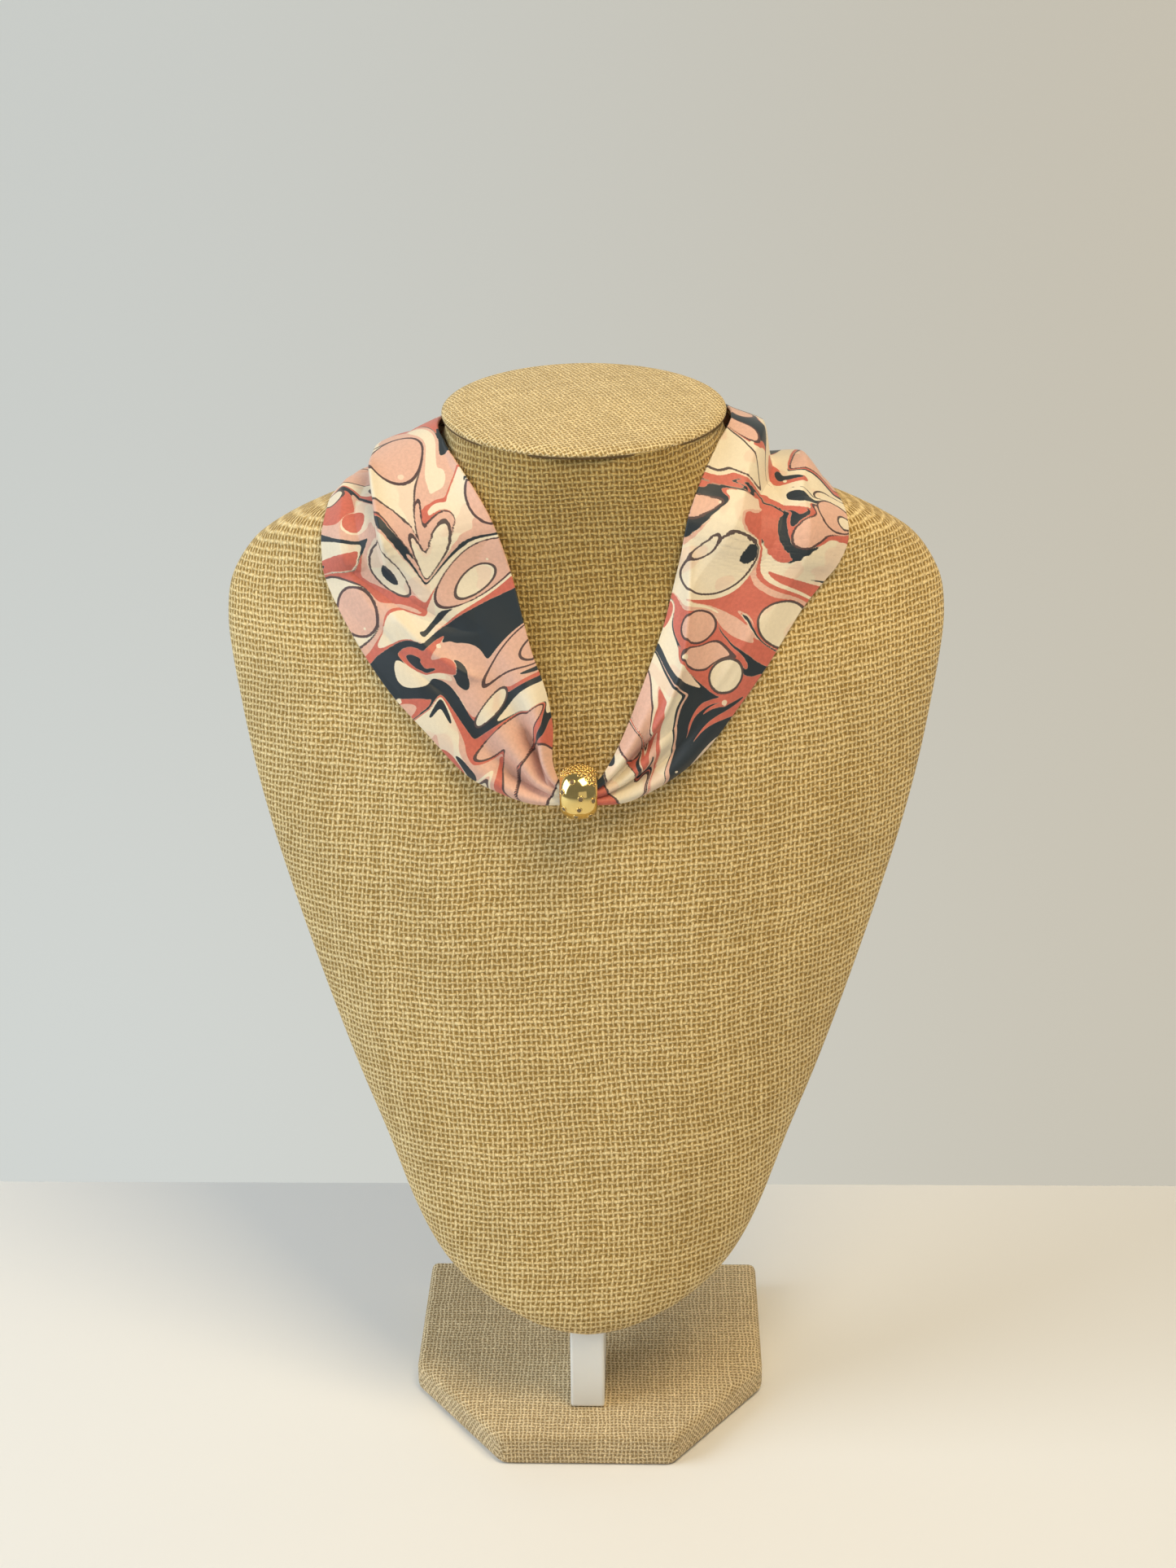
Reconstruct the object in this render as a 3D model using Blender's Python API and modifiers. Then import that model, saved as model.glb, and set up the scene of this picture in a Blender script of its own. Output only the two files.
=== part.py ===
"""Skinny silk scarf worn on a necklace display bust.

Metres, +Z up, the wearer's front faces -Y. The origin is the centre of the base's underside.
"""
import math

import bmesh
import bpy
import numpy as np
from mathutils import Vector
from mathutils.bvhtree import BVHTree

MM = 0.001
NAME = "skinny_silk_scarf"
FIT_GAP = 0.3 * MM
MERGE_DISTANCE = 0.01 * MM

# Base: a flat block with its two front corners cut off
BASE_WIDTH = 118.4 * MM
BASE_DEPTH = 104.0 * MM
BASE_HEIGHT = 10.4 * MM
BASE_CORNER_X = 30.5 * MM
BASE_CORNER_Y = 41.0 * MM
BASE_EDGE_ROUND = 2.2 * MM

# Post: a narrow upright fin between the base and the bust
POST_WIDTH = 11.2 * MM
POST_FRONT_Y = -35.4 * MM
POST_DEPTH = 32.0 * MM
POST_TOP_Z = 66.0 * MM
POST_EDGE_ROUND = 0.8 * MM
POST_SLOT_LOW_Z = 20.0 * MM

# Bust: half widths and front faces at each height, from the lower tip up to the neck
BODY_ROWS = (
    # height, half width, front, all in millimetres
    (40.5, 10.0, -37.0),
    (43.0, 17.5, -38.8),
    (46.0, 25.3, -39.4),
    (50.0, 33.6, -39.5),
    (57.0, 43.3, -38.6),
    (66.0, 51.0, -37.1),
    (80.0, 58.4, -34.7),
    (100.0, 66.3, -31.2),
    (120.0, 74.6, -27.8),
    (140.0, 82.2, -24.5),
    (160.0, 89.3, -21.2),
    (180.0, 96.0, -18.0),
    (200.0, 102.2, -14.8),
    (220.0, 107.4, -11.4),
    (240.0, 111.4, -7.9),
    (258.0, 114.4, -4.0),
    (268.0, 115.0, -0.6),
    (277.0, 113.8, 2.6),
    (285.0, 109.6, 4.8),
    (291.0, 104.0, 5.8),
    (296.0, 96.6, 6.2),
    (300.0, 88.0, 6.2),
    (303.5, 77.5, 6.0),
    (307.0, 66.0, 5.8),
    (311.0, 56.5, 5.6),
    (316.0, 49.5, 5.4),
    (321.0, 45.6, 5.2),
    (326.6, 43.6, 5.0),
)
BACK_FOOT_Y = 1.0 * MM
BACK_FOOT_Z = 40.0 * MM
BACK_SLOPE = 0.313
FLAT_SHARE = 0.45
SIDE_SLOPE = 0.42
SIDE_BLEND = 9.0 * MM
EDGE_SHARE = 0.24
NECK_EDGE_SHARE = 0.84
EDGE_DEPTH_SHARE = 0.17
SHOULDER_Z = 281.0 * MM
NECK_Z = 309.0 * MM
NECK_TIP_LOW_Z = 300.0 * MM
NECK_TIP_HIGH_Z = 326.0 * MM
BUST_SHARP_ANGLE = math.radians(50.0)
FACE_STEPS = 5
EDGE_STEPS = 6
BACK_FACE_STEPS = 3

# Neck cap: a round disc tipped forward
CAP_RADIUS = 45.1 * MM
CAP_THICKNESS = 3.2 * MM
CAP_CENTRE_Y = 48.0 * MM
CAP_TOP_Z = 329.8 * MM
CAP_TILT = math.radians(5.1)
CAP_EDGE_ROUND = 1.2 * MM
CAP_SIDES = 56
CAP_SHARP_ANGLE = math.radians(35.0)

# Scarf ring: a short domed bead, its bore along X
RING_CENTRE = (-0.9 * MM, -20.4 * MM, 226.2 * MM)
RING_LENGTH = 11.6 * MM
RING_RADIUS = 8.6 * MM
RING_BORE = 6.0 * MM
RING_WALL_AT_ENDS = 0.8 * MM
RING_DOME_POWER = 0.7
RING_PROFILE_STEPS = 12
RING_SIDES = 40

# Scarf: a flat band of two silk layers, sewn together and worn as one loop through the ring
CLOTH = 1.2 * MM
CLOTH_OFF_BUST = 1.1 * MM
NEARLY_TOUCHING = 0.05 * MM
SPAN_OFF_BUST = 0.7 * MM
SPAN_PAIRS = ((0, 1), (0, 2), (0, 3), (1, 2))
SPAN_PASSES = 3
BAND_COLUMNS = 24
GATHER_WAVES = 2.5
GATHER_FIRST_CREST = 0.12

# A row for each section across the band, from inside the ring, over the chest and shoulder,
# to behind the neck. Sizes are in millimetres. An "at" is a share of the way from the inner to
# the outer edge, an "up" is a height above the straight line between the edges, and gather is
# the height of the pleats that the ring draws in.
LEFT_SECTIONS = (
    # inner x, y, z, outer x, y, z, crest at, up, valley at, up, roll at, up, gather
    (-1.1, -20.4, 229.6, -1.1, -20.4, 221.2, 0.20, 0.0, 0.50, 0.0, 0.80, 0.0, 0.5),
    (-6.8, -20.2, 229.7, -6.8, -20.4, 220.8, 0.20, 0.0, 0.50, 0.0, 0.80, 0.0, 0.5),
    (-9.6, -17.6, 235.5, -15.5, -18.0, 221.9, 0.20, 0.6, 0.45, 0.0, 0.80, 0.6, 1.7),
    (-9.6, -12.8, 245.0, -25.5, -14.6, 224.2, 0.20, 1.6, 0.42, 0.0, 0.80, 1.6, 2.6),
    (-11.6, -8.8, 255.0, -36.0, -12.4, 229.6, 0.20, 2.0, 0.42, 0.6, 0.78, 2.2, 1.7),
    (-15.6, -4.8, 265.5, -47.6, -9.0, 241.4, 0.20, 1.6, 0.44, 1.4, 0.76, 2.0, 0.6),
    (-18.8, -0.8, 277.0, -59.8, -3.0, 253.6, 0.24, 1.6, 0.50, 1.2, 0.76, 1.6, 0.0),
    (-22.0, 2.8, 289.0, -71.0, 5.4, 268.6, 0.34, 2.0, 0.60, 0.6, 0.78, 2.0, 0.0),
    (-26.0, 4.4, 301.0, -79.0, 14.6, 282.0, 0.46, 3.4, 0.66, 0.4, 0.82, 2.8, 0.0),
    (-31.0, 9.8, 310.5, -80.6, 18.0, 292.6, 0.50, 5.0, 0.69, -1.6, 0.84, 2.6, 0.0),
    (-38.0, 21.0, 318.6, -80.2, 24.0, 301.0, 0.52, 5.4, 0.70, -3.2, 0.86, 1.8, 0.0),
    (-46.4, 43.0, 325.2, -78.6, 41.0, 304.6, 0.52, 4.8, 0.71, -3.4, 0.87, 1.4, 0.0),
    (-41.4, 69.0, 324.4, -71.0, 66.0, 298.0, 0.50, 4.6, 0.70, -2.4, 0.86, 1.6, 0.0),
    (-26.0, 86.4, 322.5, -50.0, 87.6, 281.0, 0.46, 3.6, 0.68, 0.0, 0.84, 2.0, 0.0),
)
NAPE_SECTION = (0.0, 92.8, 321.5, 0.0, 95.4, 270.5, 0.44, 2.4, 0.64, 0.8, 0.82, 1.8, 0.0)
RIGHT_SECTIONS = (
    # the same columns
    (-0.7, -20.4, 229.6, -0.7, -20.4, 221.2, 0.20, 0.0, 0.50, 0.0, 0.80, 0.0, 0.5),
    (5.0, -20.2, 230.0, 5.0, -20.4, 220.9, 0.20, 0.0, 0.50, 0.0, 0.80, 0.0, 0.5),
    (10.0, -16.4, 235.5, 14.5, -17.6, 222.6, 0.20, 0.8, 0.45, 0.0, 0.80, 0.6, 1.7),
    (14.4, -12.0, 244.0, 27.0, -13.6, 228.0, 0.20, 2.6, 0.44, 0.4, 0.80, 1.6, 2.4),
    (18.2, -8.6, 253.6, 37.6, -10.8, 236.4, 0.24, 4.2, 0.50, 1.2, 0.80, 2.0, 1.4),
    (22.2, -4.6, 264.0, 47.6, -6.6, 248.8, 0.24, 4.4, 0.52, 1.6, 0.80, 1.8, 0.4),
    (25.8, -0.6, 274.0, 57.8, 0.0, 262.6, 0.18, 3.4, 0.50, 1.4, 0.80, 1.6, 0.0),
    (28.6, 3.0, 285.0, 66.8, 7.6, 275.2, 0.12, 2.0, 0.46, 1.0, 0.78, 2.2, 0.0),
    (31.0, 4.6, 296.0, 76.2, 14.6, 285.4, 0.20, 2.0, 0.50, 0.0, 0.76, 3.4, 0.0),
    (33.4, 9.6, 307.0, 81.0, 18.6, 292.8, 0.28, 3.2, 0.50, -1.2, 0.72, 4.0, 0.0),
    (38.8, 22.0, 318.6, 81.2, 25.0, 299.8, 0.26, 4.0, 0.47, -3.4, 0.66, 4.0, 0.0),
    (46.8, 43.0, 327.6, 78.4, 41.0, 304.2, 0.24, 3.6, 0.46, -3.6, 0.66, 4.2, 0.0),
    (42.0, 69.0, 326.4, 71.0, 66.0, 298.0, 0.30, 3.6, 0.50, -2.4, 0.70, 3.4, 0.0),
    (26.0, 86.6, 323.0, 50.0, 87.6, 281.0, 0.38, 3.0, 0.58, 0.0, 0.76, 2.4, 0.0),
)
LOOP_SECTIONS = LEFT_SECTIONS + (NAPE_SECTION,) + RIGHT_SECTIONS[::-1]
# Each limb ends just behind the shoulder's top, and the nape stretch joins them
LIMB_STATIONS = 11.45
STATION_LENGTH = 25.0 * MM
STATION_NUDGE = 0.05
NECK_MIDDLE = (0.0, 48.0, 285.0)
LIMB_ROWS = 34
NAPE_ROWS = 24


def clear_scene():
    for item in list(bpy.data.objects):
        bpy.data.objects.remove(item, do_unlink=True)


def new_collection(name):
    group = bpy.data.collections.new(name)
    bpy.context.scene.collection.children.link(group)
    return group


def make_material(name, colour, roughness, metallic=0.0):
    material = bpy.data.materials.new(name)
    material.use_nodes = True
    shader = material.node_tree.nodes["Principled BSDF"]
    shader.inputs["Base Color"].default_value = (*colour, 1.0)
    shader.inputs["Roughness"].default_value = roughness
    shader.inputs["Metallic"].default_value = metallic
    return material


def object_from_mesh(name, mesh, group, material):
    item = bpy.data.objects.new(name, mesh)
    group.objects.link(item)
    item.data.materials.append(material)
    return item


def object_from_bmesh(name, shape, group, material):
    mesh = bpy.data.meshes.new(name)
    shape.to_mesh(mesh)
    shape.free()
    return object_from_mesh(name, mesh, group, material)


def smooth_step(low, high, value):
    share = min(max((value - low) / (high - low), 0.0), 1.0)
    return share * share * (3.0 - 2.0 * share)


def add_bevel(item, width, segments, angle=math.radians(30.0)):
    bevel = item.modifiers.new("rounded edges", "BEVEL")
    bevel.width = width
    bevel.segments = segments
    bevel.limit_method = "ANGLE"
    bevel.angle_limit = angle
    return bevel


def add_cut(item, cutter):
    cut = item.modifiers.new("cut " + cutter.name, "BOOLEAN")
    cut.operation = "DIFFERENCE"
    cut.solver = "EXACT"
    cut.object = cutter


# The bust's own form

def side_depth(x, half_width):
    """How far the front face has turned back at x, beyond the flat middle."""
    beyond = x - FLAT_SHARE * half_width
    return SIDE_SLOPE * 0.5 * (math.hypot(beyond, SIDE_BLEND) + beyond)


def body_half_outline(height, half_width, front, back):
    """Points from the middle of the front, round one side, to the middle of the back."""
    neck_share = smooth_step(SHOULDER_Z, NECK_Z, height)
    chest_share = 1.0 - neck_share
    edge_width = half_width * (EDGE_SHARE + (NECK_EDGE_SHARE - EDGE_SHARE) * neck_share)
    face_width = half_width - edge_width

    def front_y(x):
        return front + (side_depth(x, half_width) - side_depth(0.0, half_width)) * chest_share

    middle = 0.5 * (front + back)
    turned = front_y(half_width) + EDGE_DEPTH_SHARE * half_width
    edge_y = chest_share * min(turned, middle) + neck_share * middle
    outline = []
    for step in range(FACE_STEPS):
        x = face_width * step / FACE_STEPS
        outline.append((x, front_y(x)))
    for step in range(EDGE_STEPS):
        angle = 0.5 * math.pi * step / EDGE_STEPS
        x = face_width + edge_width * math.sin(angle)
        share = 1.0 - math.cos(angle)
        outline.append((x, front_y(x) + (edge_y - front_y(x)) * share))
    for step in range(EDGE_STEPS):
        angle = 0.5 * math.pi * step / EDGE_STEPS
        x = face_width + edge_width * math.cos(angle)
        outline.append((x, edge_y + (back - edge_y) * math.sin(angle)))
    for step in range(BACK_FACE_STEPS + 1):
        outline.append((face_width * (1.0 - step / BACK_FACE_STEPS), back))
    return outline


def neck_tip(y, height):
    """The neck's upper rows tip forward with the cap that sits on them."""
    share = smooth_step(NECK_TIP_LOW_Z, NECK_TIP_HIGH_Z, height)
    return share * math.tan(CAP_TILT) * (y - CAP_CENTRE_Y)


def build_bust(group, cutters, material):
    drop_to_neck = CAP_THICKNESS / math.cos(CAP_TILT) + FIT_GAP
    top_z = CAP_TOP_Z - drop_to_neck
    rings = []
    shape = bmesh.new()
    for height, half_width, front in BODY_ROWS:
        z = min(height * MM, top_z)
        back = BACK_FOOT_Y + (z - BACK_FOOT_Z) * BACK_SLOPE
        half = body_half_outline(z, half_width * MM, front * MM, back)
        mirrored = [(-x, y) for x, y in reversed(half[1:-1])]
        ring = [shape.verts.new((x, y, z + neck_tip(y, z))) for x, y in half + mirrored]
        rings.append(ring)
    for lower, upper in zip(rings, rings[1:]):
        for index in range(len(lower)):
            after = (index + 1) % len(lower)
            shape.faces.new((lower[index], lower[after], upper[after], upper[index]))
    shape.faces.new(list(reversed(rings[0])))
    shape.faces.new(rings[-1])
    bmesh.ops.recalc_face_normals(shape, faces=shape.faces)
    bust = object_from_bmesh("bust_body", shape, group, material)
    bust.data.shade_smooth()
    bust.data.set_sharp_from_angle(angle=BUST_SHARP_ANGLE)
    slot = build_post_slot(cutters)
    add_cut(bust, slot)
    return bust


def build_post_slot(cutters):
    shape = bmesh.new()
    bmesh.ops.create_cube(shape, size=1.0)
    slot_top = POST_TOP_Z + FIT_GAP
    height = slot_top - POST_SLOT_LOW_Z
    size = Vector((POST_WIDTH + 2.0 * FIT_GAP, POST_DEPTH + 2.0 * FIT_GAP, height))
    centre = Vector((0.0, POST_FRONT_Y + 0.5 * POST_DEPTH, POST_SLOT_LOW_Z + 0.5 * height))
    bmesh.ops.scale(shape, vec=size, verts=shape.verts)
    bmesh.ops.translate(shape, vec=centre, verts=shape.verts)
    mesh = bpy.data.meshes.new("post_slot")
    shape.to_mesh(mesh)
    shape.free()
    slot = bpy.data.objects.new("post_slot", mesh)
    cutters.objects.link(slot)
    slot.hide_render = True
    slot.display_type = "WIRE"
    return slot


def build_cap(group, material):
    shape = bmesh.new()
    bmesh.ops.create_cone(
        shape,
        cap_ends=True,
        segments=CAP_SIDES,
        radius1=CAP_RADIUS,
        radius2=CAP_RADIUS,
        depth=CAP_THICKNESS,
    )
    cap = object_from_bmesh("neck_cap", shape, group, material)
    cap.rotation_euler = (CAP_TILT, 0.0, 0.0)
    half = 0.5 * CAP_THICKNESS
    cap.location = (
        0.0,
        CAP_CENTRE_Y + half * math.sin(CAP_TILT),
        CAP_TOP_Z - half * math.cos(CAP_TILT),
    )
    add_bevel(cap, CAP_EDGE_ROUND, 3)
    cap.data.shade_smooth()
    cap.data.set_sharp_from_angle(angle=CAP_SHARP_ANGLE)
    return cap


def build_post(group, material):
    shape = bmesh.new()
    bmesh.ops.create_cube(shape, size=1.0)
    bottom = BASE_HEIGHT + FIT_GAP
    bmesh.ops.scale(shape, vec=(POST_WIDTH, POST_DEPTH, POST_TOP_Z - bottom), verts=shape.verts)
    post = object_from_bmesh("post", shape, group, material)
    post.location = (0.0, POST_FRONT_Y + 0.5 * POST_DEPTH, 0.5 * (POST_TOP_Z + bottom))
    add_bevel(post, POST_EDGE_ROUND, 2)
    return post


def build_base(group, material):
    half_x = 0.5 * BASE_WIDTH
    half_y = 0.5 * BASE_DEPTH
    corners = (
        (half_x, half_y),
        (-half_x, half_y),
        (-half_x, -half_y + BASE_CORNER_Y),
        (-half_x + BASE_CORNER_X, -half_y),
        (half_x - BASE_CORNER_X, -half_y),
        (half_x, -half_y + BASE_CORNER_Y),
    )
    outline = bpy.data.curves.new("base", "CURVE")
    outline.dimensions = "2D"
    outline.fill_mode = "BOTH"
    outline.extrude = 0.5 * BASE_HEIGHT
    line = outline.splines.new("POLY")
    line.points.add(len(corners) - 1)
    for point, (x, y) in zip(line.points, corners):
        point.co = (x, y, 0.0, 1.0)
    line.use_cyclic_u = True
    base = bpy.data.objects.new("base", outline)
    group.objects.link(base)
    outline.materials.append(material)
    base.location = (0.0, 0.0, 0.5 * BASE_HEIGHT)
    weld = base.modifiers.new("joined faces", "WELD")
    weld.merge_threshold = MERGE_DISTANCE
    add_bevel(base, BASE_EDGE_ROUND, 3)
    return base


def build_ring(group, material):
    """A domed bead turned about its bore, which runs along X."""
    profile = bmesh.new()
    half = 0.5 * RING_LENGTH
    wall_end = RING_BORE + RING_WALL_AT_ENDS
    points = []
    for step in range(RING_PROFILE_STEPS + 1):
        angle = math.pi * step / RING_PROFILE_STEPS
        along = half * math.cos(angle)
        dome = wall_end + (RING_RADIUS - wall_end) * math.sin(angle) ** RING_DOME_POWER
        points.append((dome, along))
    points.append((RING_BORE, -half))
    points.append((RING_BORE, half))
    verts = [profile.verts.new((radius, 0.0, along)) for radius, along in points]
    for first, second in zip(verts, verts[1:] + verts[:1]):
        profile.edges.new((first, second))
    ring = object_from_bmesh("scarf_ring", profile, group, material)
    ring.location = RING_CENTRE
    ring.rotation_euler = (0.0, math.radians(90.0), 0.0)
    turn = ring.modifiers.new("turned", "SCREW")
    turn.steps = RING_SIDES
    turn.render_steps = RING_SIDES
    turn.use_merge_vertices = True
    turn.merge_threshold = MERGE_DISTANCE
    turn.use_smooth_shade = True
    return ring


def surface_tree(item, scene_state):
    """The finished surface of an object, in world space, for finding the nearest point on it."""
    finished = item.evaluated_get(scene_state)
    mesh = finished.to_mesh()
    points = [finished.matrix_world @ vertex.co for vertex in mesh.vertices]
    faces = [tuple(face.vertices) for face in mesh.polygons]
    tree = BVHTree.FromPolygons(points, faces)
    finished.to_mesh_clear()
    return tree


# The scarf's own form

def through_stations(table, station):
    """A smooth curve through the table's rows, read at any place between them."""
    rows = np.array(table)
    last = len(rows) - 1
    index = min(int(station), last - 1)
    share = station - index
    before = rows[max(index - 1, 0)]
    start = rows[index]
    end = rows[index + 1]
    after = rows[min(index + 2, last)]
    return 0.5 * (
        2.0 * start
        + (end - before) * share
        + (2.0 * before - 5.0 * start + 4.0 * end - after) * share ** 2
        + (3.0 * start - before - 3.0 * end + after) * share ** 3
    )


def fold_height(section, across):
    """Height of the folds above the straight line between the band's edges."""
    crest_at, crest_up, valley_at, valley_up, roll_at, roll_up, gather = section[6:13]
    folds = ((crest_at, crest_up), (valley_at, valley_up), (roll_at, roll_up))
    marks = ((0.0, 0.0),) + folds + ((1.0, 0.0),)
    height = 0.0
    for (low, low_up), (high, high_up) in zip(marks, marks[1:]):
        if low <= across <= high:
            height = low_up + (high_up - low_up) * smooth_step(low, high, across)
    turns = GATHER_WAVES * (across - GATHER_FIRST_CREST)
    return height + gather * math.cos(2.0 * math.pi * turns)


def centre_of(section):
    return 0.5 * (section[0:3] + section[3:6])


def outward(section, before, after):
    """Direction square to the section and to the band's run, away from the neck."""
    run = centre_of(after) - centre_of(before)
    chord = section[3:6] - section[0:3]
    normal = np.cross(run, chord)
    normal /= np.linalg.norm(normal)
    away = centre_of(section) - np.array(NECK_MIDDLE)
    return normal if np.dot(normal, away) > 0.0 else -normal


def clear_of(point, trees, distance):
    """The point itself, or moved out until it is the given distance off every surface."""
    for tree in trees:
        place, normal, _, gap = tree.find_nearest(point)
        side = (point - place).dot(normal)
        if side < 0.0:
            point = place + normal * distance
        elif gap < distance:
            direction = point - place if gap > NEARLY_TOUCHING else normal
            point = place + direction.normalized() * distance
    return point


def band_point(station, across, trees):
    section = through_stations(LOOP_SECTIONS, station)
    before = through_stations(LOOP_SECTIONS, max(station - STATION_NUDGE, 0.0))
    after = through_stations(LOOP_SECTIONS, min(station + STATION_NUDGE, len(LOOP_SECTIONS) - 1.0))
    straight = section[0:3] + (section[3:6] - section[0:3]) * across
    least = 0.5 * CLOTH + CLOTH_OFF_BUST
    base = clear_of(Vector(straight * MM), trees, least)
    lift = fold_height(section, across) * MM
    raised = base + Vector(outward(section, before, after)) * lift
    return clear_of(raised, trees, least)


def lift_spans(grid, trees):
    """Raise the corners of each span that dips towards a rounded edge between its points."""
    least = 0.5 * CLOTH + SPAN_OFF_BUST
    for lower, upper in zip(grid, grid[1:]):
        for column in range(BAND_COLUMNS):
            corners = (lower[column], lower[column + 1], upper[column], upper[column + 1])
            for first, second in SPAN_PAIRS:
                middle = 0.5 * (corners[first] + corners[second])
                for tree in trees:
                    place, normal, _, _ = tree.find_nearest(middle)
                    short = least - (middle - place).dot(normal)
                    if 0.0 < short < 2.0 * least:
                        corners[first].xyz += normal * short
                        corners[second].xyz += normal * short


def build_band(name, first, last, row_count, trees, group, material):
    """One stretch of the scarf, from the first to the last station of the loop."""
    across = [column / BAND_COLUMNS for column in range(BAND_COLUMNS + 1)]
    grid = []
    for row in range(row_count + 1):
        station = first + (last - first) * row / row_count
        grid.append([band_point(station, share, trees) for share in across])
    for _ in range(SPAN_PASSES):
        lift_spans(grid, trees)
    shape = bmesh.new()
    rows = [[shape.verts.new(point) for point in line] for line in grid]
    for lower, upper in zip(rows, rows[1:]):
        for column in range(BAND_COLUMNS):
            shape.faces.new((lower[column], lower[column + 1], upper[column + 1], upper[column]))
    bmesh.ops.recalc_face_normals(shape, faces=shape.faces)
    band = object_from_bmesh(name, shape, group, material)
    band.data.shade_smooth()
    wall = band.modifiers.new("cloth wall", "SOLIDIFY")
    wall.thickness = CLOTH
    wall.offset = 0.0
    wall.use_rim = True
    return band


def build_scarf(group, material, trees):
    loop_end = len(LOOP_SECTIONS) - 1
    seam = FIT_GAP / STATION_LENGTH
    left_end = LIMB_STATIONS
    right_end = loop_end - LIMB_STATIONS
    build_band("scarf_left", 0.0, left_end, LIMB_ROWS, trees, group, material)
    build_band("scarf_nape", left_end + seam, right_end - seam, NAPE_ROWS, trees, group, material)
    build_band("scarf_right", right_end, loop_end, LIMB_ROWS, trees, group, material)


def build():
    clear_scene()
    group = new_collection(NAME)
    cutters = new_collection("cutters")
    burlap = make_material("burlap", (0.62, 0.48, 0.25), 0.9)
    burlap_base = make_material("burlap_base", (0.52, 0.40, 0.26), 0.9)
    white = make_material("white_paint", (0.85, 0.86, 0.86), 0.5)
    gold = make_material("gold", (0.83, 0.62, 0.26), 0.2, 1.0)
    silk = make_material("silk", (0.78, 0.55, 0.48), 0.55)
    bust = build_bust(group, cutters, burlap)
    cap = build_cap(group, burlap)
    build_post(group, white)
    build_base(group, burlap_base)
    build_ring(group, gold)
    scene_state = bpy.context.evaluated_depsgraph_get()
    trees = [surface_tree(item, scene_state) for item in (bust, cap)]
    build_scarf(group, silk, trees)


build()
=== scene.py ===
import math
import random

import bpy
import numpy as np
from mathutils import Matrix, Vector
from mathutils.bvhtree import BVHTree


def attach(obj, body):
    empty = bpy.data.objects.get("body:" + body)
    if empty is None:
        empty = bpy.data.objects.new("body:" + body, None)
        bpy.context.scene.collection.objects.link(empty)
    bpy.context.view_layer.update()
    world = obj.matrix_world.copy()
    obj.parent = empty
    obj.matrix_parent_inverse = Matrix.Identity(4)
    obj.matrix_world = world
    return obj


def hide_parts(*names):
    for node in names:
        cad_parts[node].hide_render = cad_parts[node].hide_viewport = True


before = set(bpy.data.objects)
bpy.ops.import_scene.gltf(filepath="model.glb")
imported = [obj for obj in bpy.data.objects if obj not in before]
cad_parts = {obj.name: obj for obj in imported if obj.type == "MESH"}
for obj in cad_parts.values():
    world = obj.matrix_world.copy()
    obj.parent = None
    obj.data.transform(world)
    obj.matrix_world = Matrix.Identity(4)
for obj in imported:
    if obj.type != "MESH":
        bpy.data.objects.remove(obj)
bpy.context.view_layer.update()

# Skinny silk scarf on its burlap display bust: the finished look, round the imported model.
# Lengths in the tables are millimetres, and meshes are in metres.
MM = 0.001

# Camera, at the photograph's viewpoint
CAMERA_PLACE = (0.0214, -0.7128, 0.5089)
CAMERA_PITCH = math.radians(22.01)
CAMERA_YAW = math.radians(-1.61)
CAMERA_ROLL = math.radians(-0.63)
CAMERA_FOCAL_PIXELS = 3000.0
CAMERA_CLIP_START = 0.01
FRAME_HEIGHT_PIXELS = 1926.0
SENSOR_HEIGHT = 36.0

# Table and wall, in metres
TABLE_SIZE = (6.0, 3.0)
TABLE_REAR_Y = 0.124
TABLE_TOP_Z = -0.0002
TABLE_WHITE = (0.86, 0.865, 0.87)
TABLE_ROUGHNESS = 0.6
WALL_SIZE = (9.0, 6.0)
WALL_Y = 1.35
WALL_GREY = (0.34, 0.34, 0.325, 1.0)
# Painted light: the wall glows, cool at the left, warm at the right and dimmer towards the top
WALL_PAINTED_LIGHT = 0.5
WALL_COOL = (1.0, 1.06, 1.04)
WALL_WARM = (0.88, 0.82, 0.68)
WALL_ACROSS = (-0.6, 0.6)
WALL_UP = (-0.8, 0.4)
WALL_TOP_SHARE = 0.78

# Lights, in metres and watts
BUST_MIDDLE = (0.0, 0.0, 0.2)
WALL_RIGHT = (0.6, WALL_Y, 0.3)
LIGHTS = (
    # name, place, aim, size, power, tint
    ("ceiling_warm", (0.28, -0.31, 1.0), BUST_MIDDLE, (0.45, 0.45), 6.2, (1.0, 0.80, 0.50)),
    ("window_cool", (-1.2, -0.35, 0.85), BUST_MIDDLE, (0.9, 1.1), 13.4, (0.84, 0.93, 1.0)),
    ("front_fill", (0.5, -1.6, 0.5), BUST_MIDDLE, (1.0, 0.8), 1.2, (1.0, 0.88, 0.70)),
    ("wall_warm", (1.3, 0.7, 0.3), WALL_RIGHT, (0.4, 0.4), 3.0, (1.0, 0.74, 0.42)),
)
SKY_TINT = (0.80, 0.80, 0.77, 1.0)
SKY_STRENGTH = 0.28

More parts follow.
